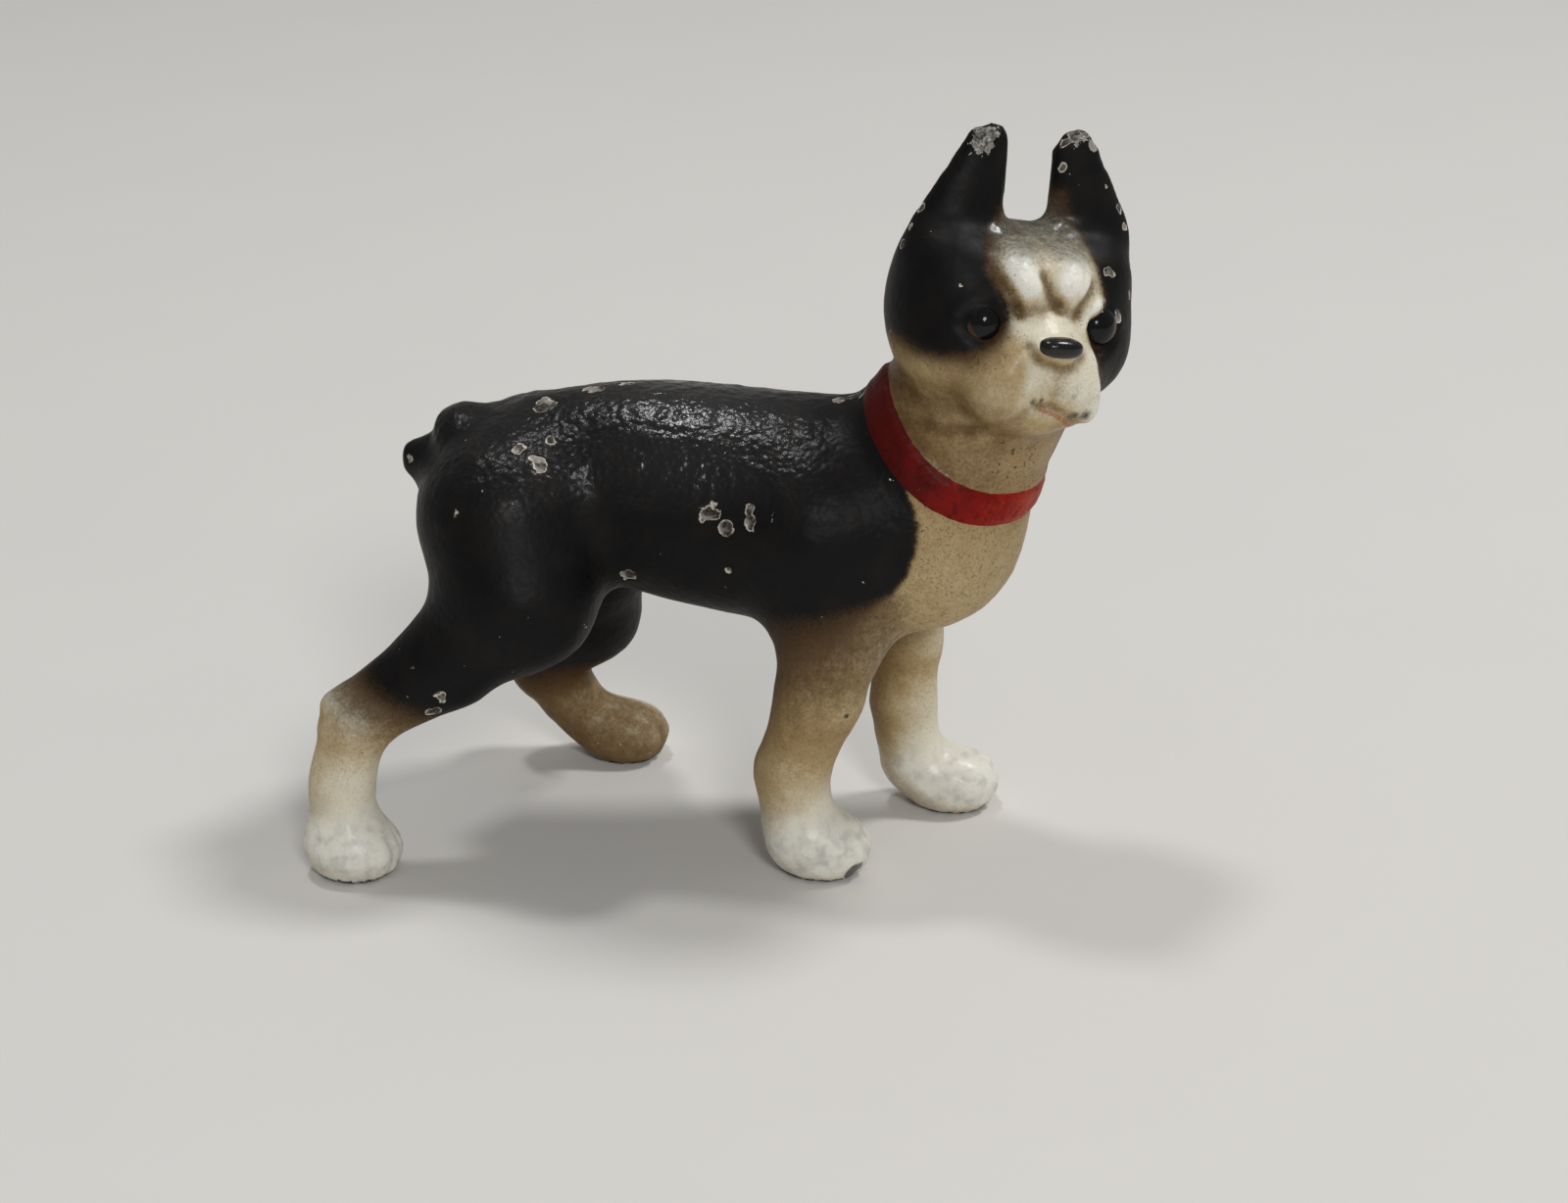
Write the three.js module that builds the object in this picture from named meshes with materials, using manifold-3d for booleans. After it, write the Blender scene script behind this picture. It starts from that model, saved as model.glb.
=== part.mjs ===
// A cast iron dog paperweight: two castings that meet on the dog's lengthwise middle plane, lined up by
// two dowels and drawn together by one screw from the left flank.
// Millimetres. The dog faces +X, its left side is +Y, +Z is up, and it stands on z = 0.

import * as THREE from "three";
import { mergeVertices } from "three/addons/utils/BufferGeometryUtils.js";
import Module from "manifold-3d";

// Stance: the middles of the paws
const FRONT_STANCE = 17.4;
const HIND_STANCE = 31.6;
const RIGHT_FRONT_PAW_X = 11.6;
const LEFT_FRONT_PAW_X = 23.4;
const RIGHT_HIND_PAW_X = -35.8;
const LEFT_HIND_PAW_X = -13.6;
const PAW_LENGTH = 10.4;
const PAW_WIDTH = 9;
const PAW_HEIGHT = 6.4;
const PAW_FULLNESS = 0.58;
const PAW_TOE = 0.5;

// Trunk, from the chest back to the tail
const BACK_HEIGHT = 48;
const BELLY_HEIGHT = 24.8;
const RIB_X = 8;
const RIB_LENGTH = 42;
const RIB_WIDTH = 23.6;
const LOIN_X = -7.5;
const LOIN_LENGTH = 32;
const LOIN_WIDTH = 19;
const LOIN_DEPTH = 20.4;
const LOIN_TUCK = 2;
const CHEST_X = 30;
const CHEST_HEIGHT = 33;
const CHEST_LENGTH = 18.4;
const CHEST_WIDTH = 20;
const CHEST_DEPTH = 16.4;
const HIP_X = -19.6;
const HIP_HEIGHT = 36.9;
const HIP_LENGTH = 21;
const HIP_WIDTH = 22;
const HIP_DEPTH = 16.4;
const TAIL_ROOT_BEHIND_HIP = 6.8;
const TAIL_ROOT_ABOVE_HIP = 6.3;
const TAIL_LENGTH = 7.6;
const TAIL_FALL = 3;
const TAIL_ROOT_DROP = 4.6;
const TAIL_ROOT_DIAMETER = 7.2;
const TAIL_TIP_DIAMETER = 3;
const RUMP_KNOB = [5.4, 7.2, 5.2];

// Legs, each from its joints downwards: a joint's place on the body, or how far ahead of the paw and inside
// the paw's line it stands, then its height and girth
const RIB_HEIGHT = (BACK_HEIGHT + BELLY_HEIGHT) / 2;
const RIB_DEPTH = BACK_HEIGHT - BELLY_HEIGHT;
const RIGHT_HIND_JOINTS = {
  hip: { x: HIP_X - 1, out: 7, height: HIP_HEIGHT - 1.4, girth: 17 },
  stifle: { x: HIP_X + 0.8, out: 10, height: HIP_HEIGHT - 7.5, girth: 16 },
  gaskin: { ahead: 10.3, inset: 3.6, height: 22.8, girth: 9.8 },
  hock: { ahead: 1.1, inset: 1.6, height: 16.6, girth: 7 },
  cannon: { ahead: -0.6, inset: 0.8, height: 9.4, girth: 6 },
  ankle: { ahead: -1, inset: 0.2, height: 4.5, girth: 6.4 },
};
const LEFT_HIND_JOINTS = {
  hip: { x: HIP_X + 0.5, out: 7, height: HIP_HEIGHT - 1.4, girth: 17 },
  stifle: { x: HIP_X + 3, out: 11, height: HIP_HEIGHT - 12.1, girth: 13.6 },
  gaskin: { ahead: -2.8, inset: 3.2, height: 18.4, girth: 11.2 },
  hock: { ahead: -8.2, inset: 1.4, height: 11, girth: 7.2 },
  ankle: { ahead: -4.2, inset: 0.8, height: 5.4, girth: 6.4 },
};
const RIGHT_FRONT_JOINTS = {
  shoulder: { x: RIB_X + 3, out: 6.8, height: RIB_HEIGHT - 0.4, girth: 14 },
  elbow: { x: RIB_X + 4.8, out: 8.2, height: BELLY_HEIGHT + 1.2, girth: 10.6 },
  forearm: { ahead: 0.1, inset: 0, height: 19.5, girth: 8.6 },
  wrist: { ahead: -2.7, inset: 0, height: 11, girth: 7.2 },
  ankle: { ahead: -2.2, inset: 0, height: 5, girth: 7 },
};
const LEFT_FRONT_JOINTS = {
  shoulder: { x: RIB_X + 7.6, out: 6.8, height: RIB_HEIGHT - 0.4, girth: 14 },
  elbow: { x: RIB_X + 10.4, out: 7.8, height: BELLY_HEIGHT + 1.6, girth: 9.2 },
  forearm: { ahead: -4.5, inset: 0.5, height: 19, girth: 7 },
  wrist: { ahead: -4.9, inset: 0.4, height: 12, girth: 6.7 },
  ankle: { ahead: -4, inset: 0, height: 5, girth: 6.9 },
};

// Neck and collar
const NECK_DIAMETER = 18.8;
const NECK_FLARE = 1;
const NECK_LENGTH = 14.5;
const NECK_LEAN = 27;
const NECK_BEHIND_CHEST = 9;
const NECK_BELOW_BACK = 9.5;
const COLLAR_WIDTH = 3.5;
const COLLAR_RAISE = 0.25;
const COLLAR_SEAT = 1.2;
const COLLAR_RISE = 6.1;
const COLLAR_SAG = 1.4;
const COLLAR_DROP = 0.4;

// Head, turned to the dog's right
const HEAD_AHEAD_OF_NECK = 1.2;
const HEAD_SHIFT = -0.3;
const HEAD_ABOVE_NECK = 7.2;
const HEAD_TURN = 63;
const HEAD_TILT = 9;
const SKULL_LENGTH = 21.6;
const SKULL_WIDTH = 23.6;
const SKULL_DEPTH = 16.2;
const EAR_LENGTH = 9.7;
const EAR_BASE_WIDTH = 9.3;
const EAR_TIP_WIDTH = 4.8;
const EAR_GAP = 4.5;
const EAR_FLATNESS = 1.8;
const EAR_LEAN = 0.6;
const EYE_DIAMETER = 3.8;
const EYE_SPACING = 12.2;
const EYE_HEIGHT = 0.3;
const MUZZLE_LENGTH = 12.6;
const MUZZLE_WIDTH = 13.2;
const MUZZLE_DEPTH = 10;
const NOSE_WIDTH = 4.2;
const NOSE_DEPTH = 2.3;
const NOSE_HEIGHT = -0.7;
const CHIN_HEIGHT = -8.2;
const EYE_AHEAD = 7.4;
const EAR_BEHIND = 1;
const EAR_ROOT_SINK = 1;

// Forms of the head: how far each one's middle lies ahead, out and up from the head's, and its half sizes
const CRANIUM = { at: [-0.5, 0, 0], half: [SKULL_LENGTH / 2, SKULL_WIDTH / 2, SKULL_DEPTH / 2] };
const TEMPLE = { at: [0.5, 7.3, 3.6], half: [5.4, 4.6, 4.6] };
const CHEEK = { at: [2, 6, -2.6], half: [7, 6, 6] };
const BROW = { at: [6.1, 2.4, 4.4], half: [3.4, 2.7, 2.8] };
const SNOUT = { at: [MUZZLE_LENGTH - 5.6, 0, -4], half: [5.6, MUZZLE_WIDTH / 2, MUZZLE_DEPTH / 2] };
const BRIDGE = { at: [MUZZLE_LENGTH - 4.4, 0, NOSE_HEIGHT - 0.3], half: [4.8, 3.9, 2.5] };
const FLEW = { at: [MUZZLE_LENGTH - 3.8, 3.6, -5.1], half: [3.8, 3.4, 3.9] };
const CHIN = { at: [MUZZLE_LENGTH - 4.4, 0, CHIN_HEIGHT], half: [3.2, 3.8, 2] };
const SOCKET = { at: [EYE_AHEAD + 2.8, EYE_SPACING / 2 + 0.8, EYE_HEIGHT], half: [2, 2.6, 2] };
const EYE = { at: [EYE_AHEAD, EYE_SPACING / 2, EYE_HEIGHT], half: Array(3).fill(EYE_DIAMETER / 2) };
const NOSE = { at: [MUZZLE_LENGTH - 0.4, 0, NOSE_HEIGHT], half: [1.4, NOSE_WIDTH / 2, NOSE_DEPTH / 2] };

// Fillets where the forms run into each other
const FILLET = {
  limb: 1.5, paw: 2.5, trunk: 5, torso: 4, tail: 1.2, neck: 2.5,
  skull: 2.5, muzzle: 2, face: 1.6, brow: 0.8, ear: 1.6, socket: 0.8,
};

// Screw and dowels, across the middle plane
const SCREW_X = -2;
const SCREW_HEIGHT = 37;
const SCREW_DIAMETER = 4;
const SCREW_GRIP = 6;
const SCREW_HEAD_DIAMETER = 7.4;
const SCREW_HEAD_RIM = 0.5;
const SCREW_HEAD_SINK = 0.5;
const SLOT_WIDTH = 1;
const SLOT_DEPTH = 1.1;
const DOWEL_DIAMETER = 3;
const DOWEL_LENGTH = 9;
const FRONT_DOWEL_X = 17;
const REAR_DOWEL_X = -18.5;
const DOWEL_HEIGHT = 37.5;
const FIT_GAP = 0.3;
const HOLE_END_GAP = 0.6;

// Steps of the modelled skin, finer over the head
const BODY_STEP = 2.2;
const HEAD_STEP = 1.3;
const ROUND_SIDES = 24;
const COLLAR_SIDES = 60;

const RIGHT = -1;
const LEFT = 1;
const { cos, sin, hypot, max, min, abs } = Math;
const rad = THREE.MathUtils.degToRad;
const wasm = await Module();
wasm.setup();

// Forms: functions of a point, negative inside, each with the box that holds it

function form(box, distance) {
  distance.box = box;
  return distance;
}

function boxAround(point, reach) {
  const size = new THREE.Vector3(2 * reach, 2 * reach, 2 * reach);
  return new THREE.Box3().setFromCenterAndSize(new THREE.Vector3(...point), size);
}

function unionOf(forms) {
  return forms.reduce((box, f) => box.union(f.box), new THREE.Box3());
}

// An egg with its half sizes along x, y and z
function lump(centre, [rx, ry, rz]) {
  const [cx, cy, cz] = centre;
  return form(boxAround(centre, max(rx, ry, rz)), (x, y, z) => {
    const a = (x - cx) / rx;
    const b = (y - cy) / ry;
    const c = (z - cz) / rz;
    const steep = hypot(a / rx, b / ry, c / rz);
    const out = hypot(a, b, c);
    return steep > 0 ? (out * (out - 1)) / steep : -min(rx, ry, rz);
  });
}

// A tapered limb between two round ends, each a point and a radius
function limb([ax, ay, az, ra], [bx, by, bz, rb]) {
  const [ux, uy, uz] = [bx - ax, by - ay, bz - az];
  const uu = ux * ux + uy * uy + uz * uz;
  const box = boxAround([ax, ay, az], ra).union(boxAround([bx, by, bz], rb));
  return form(box, (x, y, z) => {
    const t = min(1, max(0, ((x - ax) * ux + (y - ay) * uy + (z - az) * uz) / uu));
    return hypot(x - ax - t * ux, y - ay - t * uy, z - az - t * uz) - ra - t * (rb - ra);
  });
}

// Forms run into each other with a fillet of about the given size
function blend(fillet, ...forms) {
  return form(unionOf(forms).expandByScalar(fillet / 2), (x, y, z) => {
    let d = forms[0](x, y, z);
    for (let i = 1; i < forms.length; i++) {
      const e = forms[i](x, y, z);
      const h = max(fillet - abs(d - e), 0);
      d = min(d, e) - (h * h) / (4 * fillet);
    }
    return d;
  });
}

// A form with others scooped out of it, the rims rounded
function scoop(rim, body, ...tools) {
  return form(body.box, (x, y, z) => {
    let d = body(x, y, z);
    for (const tool of tools) {
      const e = -tool(x, y, z);
      const h = max(rim - abs(d - e), 0);
      d = max(d, e) + (h * h) / (4 * rim);
    }
    return d;
  });
}

// A form flattened along x
function flattened(body, factor) {
  return form(body.box, (x, y, z) => body(x * factor, y, z) / factor);
}

// A form moved into a turned frame
function placed(matrix, body) {
  const m = matrix.clone().invert().elements;
  return form(body.box.clone().applyMatrix4(matrix), (x, y, z) =>
    body(
      m[0] * x + m[4] * y + m[8] * z + m[12],
      m[1] * x + m[5] * y + m[9] * z + m[13],
      m[2] * x + m[6] * y + m[10] * z + m[14],
    ),
  );
}

// Skinning: a form's surface as one closed mesh, with one point in each grid cell that it crosses

// The twelve edges of a cell, each as the grid steps to its two ends
function cellEdges() {
  const corners = [];
  const sum = ([x, y, z]) => x + y + z;
  for (const z of [0, 1]) for (const y of [0, 1]) for (const x of [0, 1]) corners.push([x, y, z]);
  const isStep = (from, to) => to.every((t, a) => t >= from[a]) && sum(to) === sum(from) + 1;
  return corners.flatMap((from) => corners.filter((to) => isStep(from, to)).map((to) => [from, to]));
}
const cellEdgeList = cellEdges();

// Grid lines over a span, with a finer step inside a second span
function gridLines(low, high, step, fineLow, fineHigh, fineStep) {
  const lines = [low - 2 * step];
  while (lines.at(-1) < high + step) {
    const here = lines.at(-1);
    lines.push(here + (here >= fineLow && here < fineHigh ? fineStep : step));
  }
  return lines;
}

function skin(body, step, fine = { box: new THREE.Box3(), step }) {
  const [xs, ys, zs] = ["x", "y", "z"].map((a) =>
    gridLines(body.box.min[a], body.box.max[a], step, fine.box.min[a], fine.box.max[a], fine.step),
  );
  const [nx, ny, nz] = [xs.length, ys.length, zs.length];
  const at = (i, j, k) => i + nx * (j + ny * k);
  const value = new Float64Array(nx * ny * nz);
  for (let k = 0; k < nz; k++)
    for (let j = 0; j < ny; j++)
      for (let i = 0; i < nx; i++) value[at(i, j, k)] = body(xs[i], ys[j], zs[k]);
  joinDiagonals(value, nx, nx * ny);

  const pointOf = new Int32Array(value.length).fill(-1);
  const points = [];
  for (let k = 0; k < nz - 1; k++)
    for (let j = 0; j < ny - 1; j++)
      for (let i = 0; i < nx - 1; i++) {
        const sum = new THREE.Vector3();
        let crossings = 0;
        for (const [a, b] of cellEdgeList) {
          const va = value[at(i + a[0], j + a[1], k + a[2])];
          const vb = value[at(i + b[0], j + b[1], k + b[2])];
          if (va < 0 === vb < 0) continue;
          const t = va / (va - vb);
          const from = new THREE.Vector3(xs[i + a[0]], ys[j + a[1]], zs[k + a[2]]);
          const to = new THREE.Vector3(xs[i + b[0]], ys[j + b[1]], zs[k + b[2]]);
          sum.add(from.lerp(to, t));
          crossings++;
        }
        if (!crossings) continue;
        pointOf[at(i, j, k)] = points.length;
        points.push(sum.divideScalar(crossings));
      }

  const faces = [];
  for (let k = 1; k < nz - 1; k++)
    for (let j = 1; j < ny - 1; j++)
      for (let i = 1; i < nx - 1; i++) {
        const inside = value[at(i, j, k)] < 0;
        const rings = [
          [value[at(i + 1, j, k)], at(i, j - 1, k - 1), at(i, j, k - 1), at(i, j, k), at(i, j - 1, k)],
          [value[at(i, j + 1, k)], at(i - 1, j, k - 1), at(i - 1, j, k), at(i, j, k), at(i, j, k - 1)],
          [value[at(i, j, k + 1)], at(i - 1, j - 1, k), at(i, j - 1, k), at(i, j, k), at(i - 1, j, k)],
        ];
        for (const [next, ...cells] of rings) {
          if (inside === next < 0) continue;
          const face = cells.map((cell) => pointOf[cell]);
          faces.push(inside ? face : face.reverse());
        }
      }
  settle(body, points, faces, step);
  return faceted(points, faces);
}

// Joins grid points that lie inside but meet only across a square's diagonal, where the skin would
// otherwise touch itself along an edge
function joinDiagonals(value, row, layer) {
  const barelyInside = 1e-6;
  let joined = 0;
  for (let corner = 0; corner < value.length - row - layer; corner++)
    for (const [u, v] of [[1, row], [row, layer], [layer, 1]]) {
      const square = [corner, corner + u, corner + u + v, corner + v];
      const [a, b, c, d] = square.map((n) => value[n] < 0);
      if (a === b || a !== c || b !== d) continue;
      const [first, second] = square.filter((n) => value[n] >= 0);
      const nearer = value[first] < value[second] ? first : second;
      value[nearer] = -max(value[nearer], barelyInside);
      joined++;
    }
  if (joined) joinDiagonals(value, row, layer);
}

// Evens out the points along the surface and puts each one back onto it
function settle(body, points, faces, step) {
  const rounds = 4;
  const share = 0.5;
  const pulls = 3;
  const nudge = step / 20;
  const farthest = step / 2;
  const flattest = 0.05;
  const slope = new THREE.Vector3();
  for (let round = 0; round < rounds; round++) {
    const sums = points.map(() => new THREE.Vector3());
    const counts = points.map(() => 0);
    for (const face of faces)
      face.forEach((p, n) => {
        sums[p].add(points[face[(n + 1) % face.length]]);
        counts[p]++;
      });
    points.forEach((p, i) => {
      p.lerp(sums[i].divideScalar(counts[i]), share);
      for (let pull = 0; pull < pulls; pull++) {
        slope.set(
          body(p.x + nudge, p.y, p.z) - body(p.x - nudge, p.y, p.z),
          body(p.x, p.y + nudge, p.z) - body(p.x, p.y - nudge, p.z),
          body(p.x, p.y, p.z + nudge) - body(p.x, p.y, p.z - nudge),
        );
        slope.divideScalar(2 * nudge);
        const move = body(p.x, p.y, p.z) / max(slope.lengthSq(), flattest);
        p.addScaledVector(slope, -min(farthest, max(-farthest, move)));
      }
    });
  }
}

// Each four-sided face becomes two triangles across its shorter diagonal
function faceted(points, faces) {
  const apart = (a, b) => points[a].distanceToSquared(points[b]);
  const index = faces.flatMap(([a, b, c, d]) =>
    apart(a, c) < apart(b, d) ? [a, b, c, a, c, d] : [a, b, d, b, c, d],
  );
  return new THREE.BufferGeometry().setFromPoints(points).setIndex(index);
}

// Solids: closed meshes to join and cut

function solid(geometry) {
  const bare = geometry.clone();
  bare.deleteAttribute("normal");
  bare.deleteAttribute("uv");
  const merged = mergeVertices(bare, 1e-4);
  return new wasm.Manifold(
    new wasm.Mesh({
      numProp: 3,
      vertProperties: new Float32Array(merged.attributes.position.array),
      triVerts: new Uint32Array(merged.index.array),
    }),
  );
}

function geometryOf(body) {
  const { vertProperties, triVerts } = body.getMesh();
  const geometry = new THREE.BufferGeometry();
  geometry.setAttribute("position", new THREE.BufferAttribute(vertProperties, 3));
  geometry.setIndex(new THREE.BufferAttribute(triVerts, 1));
  geometry.computeVertexNormals();
  return geometry;
}

// A block that fills the space past a plane
function beyond(axis, side) {
  const reach = 400;
  const centre = new THREE.Vector3();
  centre[axis] = (side * reach) / 2;
  return solid(new THREE.BoxGeometry(reach, reach, reach).translate(...centre));
}

// A turned piece lying across the dog, from a profile of radius and y
function turned(profile, x, z) {
  const points = profile.map(([radius, y]) => new THREE.Vector2(radius, y));
  return solid(new THREE.LatheGeometry(points, ROUND_SIDES).translate(x, 0, z));
}

function pin(diameter, from, to, x, z) {
  const r = diameter / 2;
  return turned([[0, from], [r, from], [r, to], [0, to]], x, z);
}

// Legs and trunk

// An egg that the table cuts off below its middle
function paw(x, y) {
  const halfHeight = PAW_HEIGHT * PAW_FULLNESS;
  return lump([x + PAW_TOE, y, PAW_HEIGHT - halfHeight], [PAW_LENGTH / 2, PAW_WIDTH / 2, halfHeight]);
}

function leg(side, pawX, stance, joints) {
  const y = side * (stance / 2);
  const ends = Object.values(joints).map((joint) => [
    joint.x ?? pawX + joint.ahead,
    joint.out === undefined ? y - side * joint.inset : side * joint.out,
    joint.height,
    joint.girth / 2,
  ]);
  const limbs = ends.slice(1).map((end, i) => limb(ends[i], end));
  return blend(FILLET.paw, blend(FILLET.limb, ...limbs), paw(pawX, y));
}

const rightHind = leg(RIGHT, RIGHT_HIND_PAW_X, HIND_STANCE, RIGHT_HIND_JOINTS);
const leftHind = leg(LEFT, LEFT_HIND_PAW_X, HIND_STANCE, LEFT_HIND_JOINTS);
const rightFront = leg(RIGHT, RIGHT_FRONT_PAW_X, FRONT_STANCE, RIGHT_FRONT_JOINTS);
const leftFront = leg(LEFT, LEFT_FRONT_PAW_X, FRONT_STANCE, LEFT_FRONT_JOINTS);

const trunk = blend(
  FILLET.trunk,
  lump([RIB_X, 0, RIB_HEIGHT], [RIB_LENGTH / 2, RIB_WIDTH / 2, RIB_DEPTH / 2]),
  lump([LOIN_X, 0, RIB_HEIGHT + LOIN_TUCK], [LOIN_LENGTH / 2, LOIN_WIDTH / 2, LOIN_DEPTH / 2]),
  lump([HIP_X, 0, HIP_HEIGHT], [HIP_LENGTH / 2, HIP_WIDTH / 2, HIP_DEPTH / 2]),
  lump([CHEST_X - CHEST_LENGTH / 2, 0, CHEST_HEIGHT], [CHEST_LENGTH / 2, CHEST_WIDTH / 2, CHEST_DEPTH / 2]),
);
const tailX = HIP_X - TAIL_ROOT_BEHIND_HIP;
const tailHeight = HIP_HEIGHT + TAIL_ROOT_ABOVE_HIP;
const tailTip = TAIL_TIP_DIAMETER / 2;
const rumpKnob = lump([tailX, 0, tailHeight], RUMP_KNOB.map((size) => size / 2));
const tailStub = limb(
  [tailX, 0, tailHeight - TAIL_ROOT_DROP, TAIL_ROOT_DIAMETER / 2],
  [tailX - TAIL_LENGTH + tailTip, 0, tailHeight - TAIL_FALL, tailTip],
);
const tail = blend(FILLET.tail, rumpKnob, tailStub);

// Neck, leaning forward from the shoulders
const neckAxis = new THREE.Vector3(sin(rad(NECK_LEAN)), 0, cos(rad(NECK_LEAN)));
const neckFoot = new THREE.Vector3(CHEST_X - NECK_BEHIND_CHEST, 0, BACK_HEIGHT - NECK_BELOW_BACK);
const neckTop = neckFoot.clone().addScaledVector(neckAxis, NECK_LENGTH);
const neckTopRadius = (NECK_DIAMETER - NECK_FLARE) / 2;
const neck = limb([...neckFoot, neckTopRadius + NECK_FLARE], [...neckTop, neckTopRadius]);

// Head, in its own frame: x to the nose, y to the dog's left, z to the crown
const headTurn = new THREE.Euler(rad(-HEAD_TILT), 0, rad(-HEAD_TURN), "ZYX");
const headMiddle = new THREE.Vector3(HEAD_AHEAD_OF_NECK, HEAD_SHIFT, HEAD_ABOVE_NECK).add(neckTop);
const headFrame = new THREE.Matrix4().makeRotationFromEuler(headTurn).setPosition(headMiddle);
const crown = SKULL_DEPTH / 2;

// A flat blade whose tip leans to the dog's right of its root
function ear(side) {
  const root = EAR_GAP / 2 + EAR_BASE_WIDTH / 2;
  const tip = EAR_GAP / 2 + EAR_TIP_WIDTH / 2;
  const blade = limb(
    [-EAR_BEHIND, side * root + EAR_LEAN, crown - EAR_ROOT_SINK, EAR_BASE_WIDTH / 2],
    [-EAR_BEHIND, side * tip, crown + EAR_LENGTH - EAR_TIP_WIDTH / 2, EAR_TIP_WIDTH / 2],
  );
  return flattened(blade, EAR_FLATNESS);
}

const onSide = ({ at: [ahead, out, up] }, side) => [ahead, side * out, up];
const single = (feature) => lump(feature.at, feature.half);
const pair = (feature) => [LEFT, RIGHT].map((side) => lump(onSide(feature, side), feature.half));
const muzzle = blend(FILLET.muzzle, single(SNOUT), single(BRIDGE), ...pair(FLEW), single(CHIN));
const skull = blend(FILLET.skull, single(CRANIUM), ...pair(TEMPLE), ...pair(CHEEK));
const face = blend(FILLET.face, skull, muzzle, blend(FILLET.brow, ...pair(BROW)));
const eared = blend(FILLET.ear, face, ear(LEFT), ear(RIGHT));
const head = placed(headFrame, scoop(FILLET.socket, eared, ...pair(SOCKET)));

// Eyes and nose, which stand out of the face as smooth beads
function bead(feature, side) {
  const sphere = new THREE.SphereGeometry(1, ROUND_SIDES / 2, ROUND_SIDES / 3);
  sphere.scale(...feature.half).translate(...onSide(feature, side));
  return solid(sphere.applyMatrix4(headFrame));
}

// The whole dog
const torso = blend(FILLET.torso, trunk, neck, rightHind, leftHind, rightFront, leftFront);
const dog = blend(FILLET.neck, torso, tail, head);

// How far the dog's surface lies from a point inside it, by halving
function reachTo(point, direction) {
  const halvings = 40;
  let [inside, outside] = [0, max(RIB_WIDTH, HIP_WIDTH)];
  for (let halving = 0; halving < halvings; halving++) {
    const middle = (inside + outside) / 2;
    const { x, y, z } = point.clone().addScaledVector(direction, middle);
    if (dog(x, y, z) < 0) inside = middle;
    else outside = middle;
  }
  return inside;
}

// The collar: a band swept round the neck, seated in it and standing a little proud, that sags at the sides
function collarBand() {
  const forward = new THREE.Vector3(neckAxis.z, 0, -neckAxis.x);
  const leftward = new THREE.Vector3(0, 1, 0);
  const half = COLLAR_WIDTH / 2;
  const section = [[-half, -COLLAR_SEAT], [-half, COLLAR_RAISE], [0, COLLAR_RAISE], [half, COLLAR_RAISE],
    [half, -COLLAR_SEAT]];
  const corners = section.length;
  const points = [];
  const index = [];
  for (let n = 0; n < COLLAR_SIDES; n++) {
    const turn = (2 * Math.PI * n) / COLLAR_SIDES;
    const outward = forward.clone().multiplyScalar(cos(turn)).addScaledVector(leftward, sin(turn));
    const middle = COLLAR_RISE + COLLAR_SAG * cos(2 * turn) - COLLAR_DROP * cos(turn);
    for (const [edge, stand] of section) {
      const onAxis = neckFoot.clone().addScaledVector(neckAxis, middle + edge);
      points.push(onAxis.clone().addScaledVector(outward, reachTo(onAxis, outward) + stand));
    }
    const next = (n + 1) % COLLAR_SIDES;
    for (let corner = 0; corner < corners; corner++) {
      const after = (corner + 1) % corners;
      const [here, there] = [n * corners, next * corners];
      index.push(here + corner, there + after, here + after, here + corner, there + corner, there + after);
    }
  }
  return solid(new THREE.BufferGeometry().setFromPoints(points).setIndex(index));
}

// The outside of the casting, standing flat on its soles
const fineBox = new THREE.Box3(
  new THREE.Vector3(-SKULL_WIDTH / 2, -MUZZLE_LENGTH, -SKULL_DEPTH / 2).add(headMiddle),
  new THREE.Vector3(SKULL_WIDTH / 2, SKULL_LENGTH / 3, crown + EAR_LENGTH).add(headMiddle),
);
const casting = solid(skin(dog, BODY_STEP, { box: fineBox, step: HEAD_STEP }))
  .add(collarBand())
  .add(bead(EYE, LEFT))
  .add(bead(EYE, RIGHT))
  .add(bead(NOSE, LEFT))
  .subtract(beyond("z", -1));

// The screw: a countersunk head below the left flank, and a shank that ends inside the right half
const screwSeat = new THREE.Vector3(SCREW_X, 0, SCREW_HEIGHT);
const flank = reachTo(screwSeat, new THREE.Vector3(0, LEFT, 0));
const screwTop = flank - SCREW_HEAD_SINK;
const shankRadius = SCREW_DIAMETER / 2;
const headRadius = SCREW_HEAD_DIAMETER / 2;
const coneTop = screwTop - SCREW_HEAD_RIM;
const coneFoot = coneTop - (headRadius - shankRadius);
const slot = new THREE.BoxGeometry(2 * SCREW_HEAD_DIAMETER, 2 * SLOT_DEPTH, SLOT_WIDTH);
const screw = turned(
  [[0, -SCREW_GRIP], [shankRadius, -SCREW_GRIP], [shankRadius, coneFoot], [headRadius, coneTop],
    [headRadius, screwTop], [0, screwTop]],
  SCREW_X,
  SCREW_HEIGHT,
).subtract(solid(slot.translate(SCREW_X, screwTop, SCREW_HEIGHT)));
const holeRadius = shankRadius + FIT_GAP;
const sinkRadius = headRadius + FIT_GAP;
const holeEnd = -SCREW_GRIP - HOLE_END_GAP;
const holeMouth = flank + SCREW_HEAD_DIAMETER;
const screwHole = turned(
  [[0, holeEnd], [holeRadius, holeEnd], [holeRadius, coneFoot - FIT_GAP], [sinkRadius, coneTop - FIT_GAP],
    [sinkRadius, holeMouth], [0, holeMouth]],
  SCREW_X,
  SCREW_HEIGHT,
);

// The dowels and their sockets
const dowel = (x) => pin(DOWEL_DIAMETER, -DOWEL_LENGTH / 2, DOWEL_LENGTH / 2, x, DOWEL_HEIGHT);
function socket(x) {
  const end = DOWEL_LENGTH / 2 + HOLE_END_GAP;
  return pin(DOWEL_DIAMETER + 2 * FIT_GAP, -end, end, x, DOWEL_HEIGHT);
}

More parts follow.
